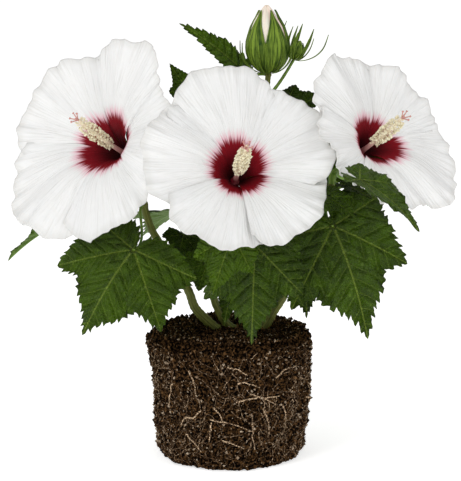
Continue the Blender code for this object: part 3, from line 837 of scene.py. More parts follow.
def rear_leaves() -> tuple[Leaf, ...]:
    """The leaves at the rear, fanned outwards and drooping, in eight tones."""
    leaves = []
    for number, (limb, along, bearing, height, out) in enumerate(REAR_PLACES):
        angle = math.radians(bearing)
        away = np.array((math.cos(angle), math.sin(angle), 0.0))
        junction = away * out + UP * height
        tip = junction + away * REAR_REACH - UP * REAR_FALL
        tone = 0.25 + 0.09 * (number * 5 % 8)
        faces = away * 0.35 + UP * 0.9
        leaves.append(Leaf(f"leaf_rear_{number + 1}", tuple(junction), tuple(tip), tuple(faces), 0.92, 1.0,
                           (0.08, 0.08), 0.35, limb, along, tone))
    return tuple(leaves)


REAR_LEAVES = rear_leaves()
LEAVES = LEFT_LEAVES + RIGHT_LEAVES + REAR_LEAVES

STEM_FOOT = BALL_HEIGHT - 0.002
STALK_TOP = 0.016


def under(bloom: Bloom) -> tuple[tuple, tuple]:
    """The last two places of the stalk under a bloom."""
    end = np.array(bloom.foot) - bloom.axes[0] * CALYX_FLOOR
    return tuple(end - bloom.axes[0] * STALK_TOP), tuple(end)


LIMBS = (
    Limb("stem_left", LimbKind.STEM,
         ((-0.012, 0.0, STEM_FOOT), (-0.024, -0.002, 0.130), (-0.034, -0.004, 0.142), (-0.040, -0.004, 0.158),
          (-0.055, 0.0, 0.184), (-0.0735, 0.004, 0.213), (-0.082, 0.008, 0.237), (-0.0905, 0.010, 0.2565)),
         0.0048, 0.0031),
    Limb("stem_centre", LimbKind.STEM,
         ((0.002, 0.006, STEM_FOOT), (-0.008, 0.004, 0.130), (-0.017, 0.001, 0.155), (-0.015, -0.002, 0.187),
          (-0.008, -0.001, 0.220), (-0.006, -0.003, 0.2327)), 0.0041, 0.0031),
    Limb("stem_right", LimbKind.STEM,
         ((0.030, 0.0, STEM_FOOT), (0.040, 0.0, 0.136), (0.051, 0.0, 0.1545), (0.0594, 0.0, 0.184),
          (0.0687, 0.0, 0.205), (0.081, 0.0, 0.226), (0.091, 0.0, 0.2434), (0.0947, 0.0, 0.2586)),
         0.0048, 0.0031),
    Limb("stem_bud", LimbKind.STEM,
         ((0.012, 0.024, STEM_FOOT), (0.0134, 0.030, 0.162), (0.021, 0.034, 0.239), (0.027, 0.034, 0.300),
          (0.033, 0.031, 0.335), BUD_FOOT), 0.0043, 0.0025),
    Limb("stalk_left", LimbKind.STALK,
         ((-0.0905, 0.0100, 0.2555), (-0.0905, 0.0110, 0.266), *under(BLOOMS[0])), 0.0031, 0.0025),
    Limb("stalk_centre", LimbKind.STALK,
         ((-0.0060, -0.0030, 0.2315), (-0.004, -0.007, 0.242), *under(BLOOMS[1])), 0.0031, 0.0025),
    Limb("stalk_right", LimbKind.STALK,
         ((0.0946, 0.0, 0.2575), (0.0965, 0.004, 0.267), *under(BLOOMS[2])), 0.0031, 0.0025),
    Limb("stalk_small_bud", LimbKind.STALK,
         ((0.0350, 0.031, 0.3370), (0.044, 0.031, 0.348), (0.052, 0.030, 0.360), SMALL_BUD_FOOT),
         0.0016, 0.0014),
)


@dataclass(frozen=True)
class Litter:
    """Small lumps strewn over the root ball; sizes and tones run from a least value over a spread."""

    name: str
    finish: str
    count: int
    side_share: float
    inset: float
    rise: float
    proud: float
    size: tuple[float, float, int]
    tone: tuple[float, float, int]


@dataclass
class RootBall:
    """The peat drum with its crumbs, root fibres and pale grains."""

    materials: Materials
    sides: int = 400
    side_rows: int = 132
    top_rows: int = 60
    foot_round: float = 0.009
    rim_round: float = 0.012
    uneven: float = 0.0012
    tone: float = 0.42
    # Scale and height of the lumps, the crumbs and the grit, and the same of the matted peat
    reliefs: tuple = ((75.0, 0.0022), (260.0, 0.0025), (640.0, 0.0015))
    matted: tuple = ((420.0, 420.0, 110.0), 0.0008)
    crumbs: Litter = Litter("peat_crumbs", "crumb", 5600, 0.5, 0.004, 0.0006, 1.0, (0.0006, 0.0022, 2),
                            (0.0, 1.35, 2))
    grains: Litter = Litter("pale_grains", "grain", 1700, 0.75, 0.006, 0.0010, 1.012, (0.0006, 0.0012, 3),
                            (0.2, 1.4, 1))
    fibres: int = 640
    dark_fibres: float = 0.72
    fibre_step: float = 0.0022
    fibre_turn: float = 0.32
    fibre_proud: float = 1.013
    long_points: int = 24
    long_proud: float = 1.020
    # Long pale roots: bearing from the front in degrees and height, start and end
    long_roots: tuple = (
        ((-15, 0.050), (16, 0.038)), ((16, 0.047), (18, 0.021)), ((-14, 0.047), (-16, 0.027)),
        ((-21, 0.058), (-38, 0.042)), ((4, 0.067), (36, 0.070)), ((33, 0.088), (52, 0.095)),
        ((-30, 0.095), (-24, 0.070)), ((-2, 0.100), (12, 0.092)), ((5, 0.085), (22, 0.079)),
        ((14, 0.074), (34, 0.062)), ((-12, 0.062), (-4, 0.046)), ((-44, 0.080), (-52, 0.056)),
        ((40, 0.060), (48, 0.036)), ((24, 0.060), (30, 0.030)), ((-6, 0.030), (10, 0.022)),
        ((-34, 0.034), (-22, 0.018)), ((70, 0.060), (88, 0.048)), ((120, 0.080), (141, 0.066)),
        ((168, 0.052), (196, 0.060)), ((230, 0.090), (246, 0.062)),
    )

    @cached_property
    def profile(self) -> Array:
        """Heights and radii from the foot, up the side and over the top to its middle."""
        foot, rim = (np.radians(np.linspace(0, 90, count)) for count in (12, 14))
        heights = np.concatenate([self.foot_round * (1 - np.cos(foot)),
                                  BALL_HEIGHT - self.rim_round * (1 - np.sin(rim)), [BALL_HEIGHT]])
        radii = np.concatenate([BALL_FOOT_RADIUS - self.foot_round * (1 - np.sin(foot)),
                                BALL_TOP_RADIUS - self.rim_round * (1 - np.cos(rim)), [0.0005]])
        run = run_along(np.stack([heights, radii], -1))
        side = np.linspace(0, run[-2], self.side_rows)
        shares = np.concatenate([side, np.linspace(run[-2], run[-1], self.top_rows)[1:]])
        return np.stack([np.interp(shares, run, heights), np.interp(shares, run, radii)], -1)

    def wander(self, angle: Array, height: Array) -> Array:
        """How far the ball leaves a true drum."""
        return self.uneven * (np.sin(3 * angle + 31 * height) + np.sin(7 * angle - 70 * height))

    def relief(self, place: Array) -> float:
        """How far the peat stands proud at a place."""
        proud = sum(noise.noise(Vector(place) * scale) * height for scale, height in self.reliefs)
        scales, height = self.matted
        return proud + noise.noise(Vector(place * np.array(scales))) * height

    def skin(self, angle: float, height: float) -> Array:
        """A place on the side of the ball."""
        side = self.profile[: self.side_rows]
        radius = np.interp(height, side[:, 0], side[:, 1]) + self.wander(angle, height)
        out = np.array((math.cos(angle), math.sin(angle), 0.0))
        base = out * radius + UP * height
        return base + out * self.relief(base)

    def drum(self) -> Patch:
        """The ball itself."""
        angles = np.linspace(0, FULL_TURN, self.sides, endpoint=False)
        height, radius = self.profile[:, :1], self.profile[:, 1:]
        reach = radius + self.wander(angles, height) * (radius / BALL_TOP_RADIUS)
        heights = np.broadcast_to(height, reach.shape)
        grid = np.stack([reach * np.cos(angles), reach * np.sin(angles), heights], -1)
        relief = np.array([self.relief(point) for point in grid.reshape(-1, 3)]).reshape(reach.shape)
        depth = self.rim_round * 4
        top = smooth_step((depth - (BALL_HEIGHT - height)) / depth)
        grid = grid + grid_normals(grid, True) * (relief * (1 + 0.5 * top))[..., None]
        grid[..., 2] = np.maximum(grid[..., 2], 0.0)
        ring = np.arange(self.sides)[None, :]
        lists = [grid_faces(len(grid), self.sides, True), ring[:, ::-1], (len(grid) - 1) * self.sides + ring]
        return Patch(grid.reshape(-1, 3), lists, [np.zeros((*part.shape, 2)) for part in lists], self.tone)

    def strew(self, litter: Litter, draw: Draw) -> None:
        """Strews one kind of lump over the side and the top, as one piece."""
        (small, sizes, size_power), (dark, tones, tone_power) = litter.size, litter.tone
        lumps = []
        for _ in range(litter.count):
            angle = draw.uniform(0, FULL_TURN)
            if draw.random() < litter.side_share:
                place = self.skin(angle, draw.uniform(0.004, BALL_HEIGHT - 0.006))
            else:
                radius = (BALL_TOP_RADIUS - litter.inset) * math.sqrt(draw.random())
                height = BALL_HEIGHT + litter.rise
                place = np.array((radius * math.cos(angle), radius * math.sin(angle), height))
            place = place * np.array((litter.proud, litter.proud, 1.0))
            size = small + sizes * draw.random() ** size_power
            lumps.append(speck(place, size, draw, dark + tones * draw.random() ** tone_power))
        Piece(litter.name, self.materials[litter.finish], [], "root_ball", lumps).build()

    def fibre(self, draw: Draw) -> Patch:
        """A root that wanders down the side of the ball."""
        way = -math.pi / 2 + draw.normal(0, 0.75)
        tone = draw.uniform(0.0, 0.40) if draw.random() < self.dark_fibres else draw.uniform(0.6, 1.5)
        angle, height = draw.uniform(0, FULL_TURN), draw.uniform(0.015, BALL_HEIGHT - 0.006)
        steps, thick = int(draw.integers(6, 20)), draw.uniform(0.00022, 0.00048)
        line = []
        for _ in range(steps):
            line.append(self.skin(angle, height))
            way += draw.normal(0, self.fibre_turn)
            angle += math.cos(way) * self.fibre_step / BALL_TOP_RADIUS
            height = min(max(height + math.sin(way) * self.fibre_step, 0.004), BALL_HEIGHT - 0.005)
        centres = np.array(line) * np.array((self.fibre_proud, self.fibre_proud, 1.0))
        return tube(centres, np.linspace(1.0, 0.45, steps) * thick, 4, tone, cap=False)

    def long_root(self, start: tuple, end: tuple, draw: Draw) -> Patch:
        """A long pale root between two places on the side."""
        shares = np.linspace(0, 1, self.long_points)
        bow = np.sin(shares * math.pi)
        drift = np.cumsum(draw.normal(0, 0.22, self.long_points))
        angles = np.radians(-90 + start[0] + (end[0] - start[0]) * shares) + bow * 0.035 * np.sin(drift)
        heights = start[1] + (end[1] - start[1]) * shares + bow * 0.0035 * np.cos(drift + 1.0)
        centres = np.array([self.skin(*spot) for spot in zip(angles, heights)])
        centres = smooth_line(smooth_line(centres * np.array((self.long_proud, self.long_proud, 1.0))))
        radii = np.linspace(0.00085, 0.0004, self.long_points)
        return tube(centres, radii, 6, draw.uniform(1.3, 2.2), cap=False)

    def build(self) -> None:
        """Builds the ball, its crumbs, its roots and its grains."""
        draw = np.random.default_rng(SEED)
        Piece("root_ball_peat", self.materials["peat"], ["root_ball"], "root_ball", [self.drum()]).build()
        self.strew(self.crumbs, draw)
        roots = [self.fibre(draw) for _ in range(self.fibres)]
        roots += [self.long_root(start, end, draw) for start, end in self.long_roots]
        Piece("root_fibres", self.materials["fibre"], [], "root_ball", roots).build()
        self.strew(self.grains, draw)


@dataclass
class Stems:
    """Every stem and stalk with its ribs and swollen leaf joints."""

    materials: Materials
    step: float = 0.0014
    sides: int = 18
    joint_width: float = 0.0035
    joint_swell: float = 0.26
    foot_flare: float = 0.5
    foot_height: float = 0.004
    uneven: float = 0.04
    ribs: float = 0.035

    def limb(self, limb: Limb) -> Patch:
        """One limb with a swelling where each leaf grows."""
        length = run_along(limb.line(80))[-1]
        count = max(int(length / self.step), 12)
        shares = np.linspace(0, 1, count)
        radii = limb.radius(shares)
        for leaf in LEAVES:
            if leaf.limb == limb.name:
                near = (shares - leaf.along) * length / self.joint_width
                radii = radii * (1 + self.joint_swell * np.exp(-near**2))
        if limb.kind is LimbKind.STEM:
            radii = radii * (1 + self.foot_flare * np.exp(-shares * length / self.foot_height))
        radii = radii * (1 + self.uneven * np.sin(shares * length * 900 + len(limb.name)))
        return tube(limb.line(count), radii, self.sides, EVEN_TONE, self.ribs)

    def build(self) -> None:
        """Builds one joined piece of stems and one of stalks."""
        for kind in LimbKind:
            limbs = [limb for limb in LIMBS if limb.kind is kind]
            Piece(f"{kind.value}s", self.materials[kind.value], [limb.name for limb in limbs], kind.value,
                  [self.limb(limb) for limb in limbs]).build()


@dataclass
class Foliage:
    """The leaves: toothed, quilted blades on their stalks."""

    materials: Materials
    thickness: float = 0.0005
    ring_step: float = 0.0034
    edge_step: float = 0.0017
    tooth: float = 0.078
    tooth_reach: float = 0.046
    tooth_lean: float = 0.55
    quilt: float = 0.0034
    groove: float = 0.012
    wave: float = 0.017
    # How near the rings lie towards the edge
    ring_power: float = 0.92
    small_teeth: float = 2.6
    petiole_radius: float = 0.0013
    petiole_points: int = 22
    # How long a leaf stalk keeps its first and its last direction, in shares of its span
    petiole_leave: float = 0.35
    petiole_arrive: float = 0.30
    vein_angles: tuple = (-106, -48, 0, 48, 106)
    # Angle from the tip, then the edge's reach on a plain blade and on a lobed one, in blade lengths
    edge: tuple = (
        (0, 1.0, 1.0), (3, 0.93, 0.90), (8, 0.85, 0.81), (16, 0.75, 0.73), (25, 0.67, 0.66), (32, 0.62, 0.61),
        (38, 0.58, 0.66), (44, 0.54, 0.72), (48, 0.52, 0.77), (53, 0.49, 0.70), (62, 0.45, 0.62),
        (74, 0.41, 0.55), (85, 0.38, 0.52), (95, 0.355, 0.55), (102, 0.34, 0.58), (106, 0.33, 0.60),
        (113, 0.31, 0.54), (128, 0.27, 0.47), (145, 0.22, 0.39), (160, 0.165, 0.28), (172, 0.10, 0.16),
        (180, 0.05, 0.04),
    )

    def outline(self, leaf: Leaf, length: float) -> tuple[Array, Array, Array]:
        """The blade's edge.

        Args:
            leaf: The leaf.
            length: Length of its blade.

        Returns:
            Points of the smooth edge, how far teeth move each, and each one's share of the way round.
        """
        half = {angle: plain + leaf.lobes * (lobed - plain) for angle, plain, lobed in self.edge}
        ring = list(half.items())
        ring += [(360 - angle, reach) for angle, reach in reversed(ring[1:-1])]
        angles = np.radians([angle for angle, _ in ring])
        reach = np.array([share for _, share in ring]) * length
        corners = np.stack([reach * np.cos(angles), reach * np.sin(angles) * leaf.width], -1)
        closed = np.concatenate([corners, corners[:1]])
        run = run_along(closed)
        spots = np.linspace(0, run[-1], max(int(run[-1] / self.edge_step), 48), endpoint=False)
        edge = np.stack([np.interp(spots, run, closed[:, axis]) for axis in (0, 1)], -1)
        tips = [0.0, run[-1]]
        if leaf.lobes > LOBED:
            for vein in self.vein_angles[3:]:
                number = list(half).index(vein)
                tips += [run[number], run[-1] - run[number]]
        gaps = np.abs(spots[:, None] - np.array(tips)[None, :])
        distance, nearest = np.min(gaps, axis=1), np.array(tips)[np.argmin(gaps, axis=1)]
        pitch = self.tooth * length
        phase, small = np.mod(distance / pitch, 1.0), np.mod(distance / pitch * self.small_teeth, 1.0)
        bite = (0.62 - phase) + 0.35 * (0.5 - small)
        away = unit(np.roll(edge, -1, axis=0) - np.roll(edge, 1, axis=0))
        outward = np.stack([away[:, 1], -away[:, 0]], -1)
        towards = away * np.sign(nearest - spots)[:, None]
        turn = math.pi - np.abs(np.arctan2(edge[:, 1], edge[:, 0]))
        fade = smooth_step(distance / (1.1 * pitch)) * smooth_step(turn / 0.35)
        shift = (outward + self.tooth_lean * towards) * (bite * fade * self.tooth_reach * length)[:, None]
        return edge, shift, spots / run[-1]

    def vein_spots(self, leaf: Leaf, flat: Array, sector_of: Array, length: float) -> Array:
        """How far along the nearest main vein each point is and how far beside it, in blade lengths."""
        angles = np.radians(self.vein_angles if leaf.lobes > LOBED else (0,))
        own = np.arctan2(sector_of[..., 1] / leaf.width, sector_of[..., 0])
        nearest = angles[np.argmin(np.abs(own[..., None] - angles), axis=-1)]
        way = unit(np.stack([np.cos(nearest), np.sin(nearest) * leaf.width], -1))
        beside = np.abs(flat[..., 0] * way[..., 1] - flat[..., 1] * way[..., 0])
        return np.stack([np.sum(flat * way, axis=-1), beside], -1) / length

    def height(
        self, leaf: Leaf, flat: Array, shares: Array, way_round: Array, length: float, start: float
    ) -> Array:
        """How far the blade stands above its own plane: folds, droop, quilting, vein grooves and waves.

        Args:
            leaf: The leaf.
            flat: Points of the blade in its plane.
            shares: Each ring's share of the way to the edge.
            way_round: Each column's share of the way round.
            length: Length of the blade.
            start: Where the waves of the edge start.

        Returns:
            One height for each point.
        """
        spots = self.vein_spots(leaf, flat, flat, length)
        along, beside = spots[..., 0], spots[..., 1]
        x, y = flat[..., 0], flat[..., 1]
        rise = np.where(y > 0, *leaf.folds) * np.abs(y)
        fall = np.where(x > 0, leaf.droop * x * x / length, 0.0)
        phase = FULL_TURN * SIDE_VEINS * (along - VEIN_SLANT * beside)
        quilting = -np.cos(phase) * self.quilt * smooth_step(beside / 0.06)
        groove = -np.exp(-((beside / 0.028) ** 2)) * self.groove
        turn = way_round * FULL_TURN
        ripple = np.sin(turn * 9 + start) + 0.6 * np.sin(turn * 17 + 2 * start)
        return rise - fall + length * (quilting + groove * shares**0.5 + self.wave * ripple[None] * shares**3)

    def blade(self, leaf: Leaf, draw: Draw) -> Patch:
        """The blade of a leaf as a closed thin sheet."""
        length, ahead, left, above = leaf.axes()
        edge, shift, way_round = self.outline(leaf, length)
        rings, count = max(int(length / self.ring_step), 8), len(edge)
        shares = (np.arange(1, rings + 1) / rings)[:, None, None] ** self.ring_power
        flat = edge[None] * shares + shift[None] * smooth_step((shares - 0.82) / 0.18)
        height = self.height(leaf, flat, shares[..., 0], way_round, length, draw.uniform(0, 6))
        level = np.array(leaf.junction) + flat[..., :1] * ahead + flat[..., 1:] * left
        grid = level + height[..., None] * above
        lift = -grid_normals(grid, True) * (self.thickness / 2)
        middle = np.array(leaf.junction) + above * np.mean(height[0])
        rise = above * self.thickness / 2
        total = rings * count
        points = np.concatenate([(grid + lift).reshape(-1, 3), (grid - lift).reshape(-1, 3),
                                 [middle + rise, middle - rise]])
        flats = np.concatenate([flat.reshape(-1, 2)] * 2 + [np.zeros((2, 2))])
        faces = grid_faces(rings, count, True)
        here = np.arange(count)
        after = (here + 1) % count
        fan = np.stack([np.full(count, 2 * total), after, here], -1)
        fan_under = np.stack([here + total, after + total, np.full(count, 2 * total + 1)], -1)
        last = total - count
        rim = np.stack([last + here, last + after, total + last + after, total + last + here], -1)
        lists = [faces[:, ::-1], fan, rim, faces + total, fan_under]
        patterns = []
        for part in lists:
            corners = flats[part]
            middles = np.broadcast_to(corners.mean(axis=1, keepdims=True), corners.shape)
            patterns.append(self.vein_spots(leaf, corners, middles, length))
        return Patch(points, lists, patterns, leaf.tone, [Slot.UPPER] * 3 + [Slot.UNDER] * 2)

    def petiole(self, leaf: Leaf) -> Patch:
        """The stalk of a leaf, from under its blade to the limb's skin."""
        _, ahead, _, above = leaf.axes()
        junction = np.array(leaf.junction)
        start = junction - above * 0.0030 - ahead * 0.0026
        limb = next(limb for limb in LIMBS if limb.name == leaf.limb)
        middle, way = limb.at(leaf.along)
        out = start - middle
        out = unit(out - way * np.dot(out, way))
        end = middle + out * limb.radius(leaf.along) * 0.6
        span = float(np.linalg.norm(end - start))
        first = start + unit(-ahead - above * 0.4) * span * self.petiole_leave
        second = end + out * span * self.petiole_arrive
        part = np.linspace(0, 1, self.petiole_points)[:, None]
        rest = 1 - part
        line = start * rest**3 + first * 3 * rest**2 * part + second * 3 * rest * part**2 + end * part**3
        centres = np.concatenate([[junction, junction - above * 0.0016 - ahead * 0.0010], line])
        radii = np.concatenate([[0.0009, 0.0012], np.full(len(line), self.petiole_radius)])
        radii[-3:] *= (1.1, 1.3, 1.6)
        return tube(centres, radii, 10, 0.4 + 0.5 * leaf.tone, 0.03)

    def build(self) -> None:
        """Builds the blades in pieces by their side of the plant, and the stalks as one piece."""
        draw = np.random.default_rng(SEED + 1)
        sides = (("leaves_front_left", LEFT_LEAVES), ("leaves_front_right", RIGHT_LEAVES),
                 ("leaves_rear", REAR_LEAVES))
        for name, leaves in sides:
            blades = [self.blade(leaf, draw) for leaf in leaves]
            Piece(name, self.materials["leaf"], [leaf.name for leaf in leaves], "leaf", blades).build()
        stalks = [self.petiole(leaf) for leaf in LEAVES]
        Piece("leaf_stalks", self.materials["stalk"], [], "leaf", stalks).build()


@dataclass(frozen=True)
class Lobe:
    """A pointed lobe or bract behind the petals."""

    end: float
    width: float
    start_out: float
    end_out: float
    power: float


@dataclass
class OpenBloom:
    """One open flower with its petals, calyx, bracts and staminal column."""

    materials: Materials
    bloom: Bloom
    rows: int = 52
    columns: int = 52
    thickness: float = 0.0005
    overlap: float = 0.085
    overlap_lift: float = 0.0013
    keel: float = 0.0016
    clearance: float = 0.0006
    ruffle: float = 0.0052
    crinkle: float = 0.0013
    ragged: float = 0.022
    calyx_lobe: Lobe = Lobe(0.30, 0.52, 0.0030, 0.0034, 1.4)
    bract: Lobe = Lobe(0.24, 0.085, 0.0044, 0.0088, 2.4)
    lobe_thickness: float = 0.0006
    cup_back: float = 0.0068
    cup_length: float = 0.0064
    column_radius: float = 0.0021
    column_flare: float = 0.0022
    column_share: float = 0.94
    stamens: int = 190
    stamen_turn: float = 2.39996
    # Where on the column the stamens start and the stretch that they take
    stamen_zone: tuple[float, float] = (0.28, 0.58)
    # The least reach of a stamen and how much more the middle ones have
    stamen_reach: tuple[float, float] = (0.0036, 0.0030)
    thread_radii: tuple[float, ...] = (0.00022, 0.00018, 0.00016)
    anther_size: float = 0.00135
    style_foot: float = 0.89
    style_length: float = 0.0070
    style_spread: float = 0.0048
    stigma_radius: float = 0.00115

    def petal(self, number: int, draw: Draw) -> Patch:
        """One ruffled petal that lies over the next."""
        along, side = sheet_shares(self.rows, self.columns)
        turn = number + side * (0.5 + self.overlap * smooth_step(along / 0.5))
        starts = draw.uniform(0, FULL_TURN, 5)
        outer, margin = smooth_step((along - 0.25) / 0.75), smooth_step((along - 0.72) / 0.28)
        fold = np.sin(side * 5.2 + starts[0]) + 0.6 * np.sin(side * 9.1 + starts[1] + 2 * along)
        small = np.sin(side * 23 + starts[2]) + 0.7 * np.sin(side * 37 + starts[3] + 5 * along)
        keel = -self.keel * np.exp(-((side / 0.16) ** 2)) * outer
        outward = (-self.overlap_lift * side * smooth_step(along / 0.22) + self.ruffle * fold * outer * 0.5
                   + self.crinkle * small * margin + keel + self.clearance)
        torn = np.sin(side * 8 + starts[4]) + 0.45 * np.sin(side * 19 + starts[1])
        reach = along * (1 + self.ragged * margin * torn) * (1 - 0.035 * margin * np.abs(side) ** 4)
        pattern = np.stack([number * 1.37 + side * 0.5, along], -1)
        return thin_sheet(self.bloom.surface(reach, turn, outward, number), pattern, self.thickness)

    def lobe(self, centre: float, lobe: Lobe) -> Patch:
        """One lobe or bract at a place round the bloom, counted in petals."""
        share, side = sheet_shares(16, 9)
        half = lobe.width * (1 - share**lobe.power) * (0.62 + 0.38 * rise_and_hold(share, 2.2))
        outward = lobe.start_out + (lobe.end_out - lobe.start_out) * share**1.6
        outward = outward - 0.0004 * np.cos(side * 3 * math.pi) - 0.0004 * np.abs(side)
        grid = self.bloom.surface(share * lobe.end, centre + side * half, outward)
        return thin_sheet(grid[:, ::-1], np.stack([side, share], -1), self.lobe_thickness)

    def calyx(self) -> list[Patch]:
        """The calyx lobes, the bracts round them and the cup that holds them."""
        patches = [self.lobe(number + 0.5, self.calyx_lobe) for number in range(PETALS)]
        patches += [self.lobe(number / 2 + 0.25, self.bract) for number in range(2 * PETALS)]
        shares = np.linspace(0, 1, 9)
        run = -self.cup_back + shares * self.cup_length
        centres = np.array(self.bloom.foot) + self.bloom.axes[0] * run[:, None]
        patches.append(tube(centres, 0.0026 + 0.0034 * np.sin(shares * math.pi / 2), 24, EVEN_TONE, 0.03))
        return patches

    def column_line(self, shares: Array) -> Array:
        """Points of the staminal column's middle line, which lifts towards its tip."""
        faces, _, up = self.bloom.axes
        ahead, rise = shares * self.bloom.pistil * self.column_share, self.bloom.bend * shares**2
        return np.array(self.bloom.foot) + faces * ahead[..., None] + up * rise[..., None]

    def stamen(self, number: int, draw: Draw) -> tuple[Patch, Patch]:
        """The thread and the anther of one stamen."""
        faces, right, up = self.bloom.axes
        (first, stretch), (least, more) = self.stamen_zone, self.stamen_reach
        share = first + stretch * (number + draw.uniform(0, 1)) / self.stamens
        spot = self.column_line(np.array(share))
        out = spoke(np.array(number * self.stamen_turn + draw.normal(0, 0.3)), up, right)
        swell = math.sin(math.pi * min((share - 0.24) / 0.66, 1.0))
        reach = least + more * swell * draw.uniform(0.7, 1.1)
        tip = spot + out * reach + faces * reach * draw.uniform(0.1, 0.7)
        bow = (spot + tip) / 2 + faces * -0.0004
        thread = tube(np.array([spot, bow, tip]), np.array(self.thread_radii), 4, 0.9, cap=False)
        return thread, speck(tip, self.anther_size * draw.uniform(0.8, 1.25), draw, draw.uniform(0.35, 1.0))

    def stigma(self, number: int) -> list[Patch]:
        """One of the five styles with its stigma."""
        faces, right, up = self.bloom.axes
        out = spoke(np.array(math.radians(36 + 72 * number)), up, right)
        part = np.linspace(0, 1, 8)[:, None]
        line = (self.column_line(np.array(self.style_foot)) + faces * self.style_length * part
                + out * self.style_spread * part**1.5)
        rings = np.linspace(-1, 1, 9)
        pad = line[-1] + faces * 0.0005 + (faces * 0.6 + out * 0.4) * (rings * 0.0009)[:, None]
        radii = self.stigma_radius * np.sqrt(np.maximum(1 - rings**2, 0.02))
        return [tube(line, np.linspace(0.0006, 0.0005, 8), 8, 0.6), tube(pad, radii, 12, 0.2)]

    def build(self) -> None:
        """Builds the whole flower."""
        draw = np.random.default_rng(SEED + 20 + len(self.bloom.name))
        petals = [self.petal(number, draw) for number in range(PETALS)]
        shares = np.linspace(-0.004, 0.90, 60)
        radii = self.column_radius * (1.15 - 0.55 * np.clip(shares, 0, 1))
        radii = radii + self.column_flare * np.exp(-np.maximum(shares, 0) / 0.035)
        column = [tube(self.column_line(shares), radii, 14, 0.75, 0.03)]
        stamens = [self.stamen(number, draw) for number in range(self.stamens)]
        threads, anthers = [thread for thread, _ in stamens], [anther for _, anther in stamens]
        stigmas = [patch for number in range(PETALS) for patch in self.stigma(number)]
        hidden = [f"petal_{number + 1}" for number in range(PETALS)]
        for title, material, nodes, slot, patches in (
            ("petals", self.materials["petal"] * 2, hidden, "petal", petals),
            ("calyx_lobes", self.materials["calyx"] * 2, ["calyx"], "calyx", self.calyx()),
            ("column", self.materials["column"], ["pistil"], "pistil", column),
            ("stamen_threads", self.materials["anther"], [], "pistil", threads),
            ("anthers", self.materials["anther"], [], "pistil", anthers),
            ("stigmas", self.materials["stigma"], [], "pistil", stigmas),
        ):
            name = self.bloom.name
            Piece(f"{name}_{title}", material, [f"{name}_{node}" for node in nodes], slot, patches).build()


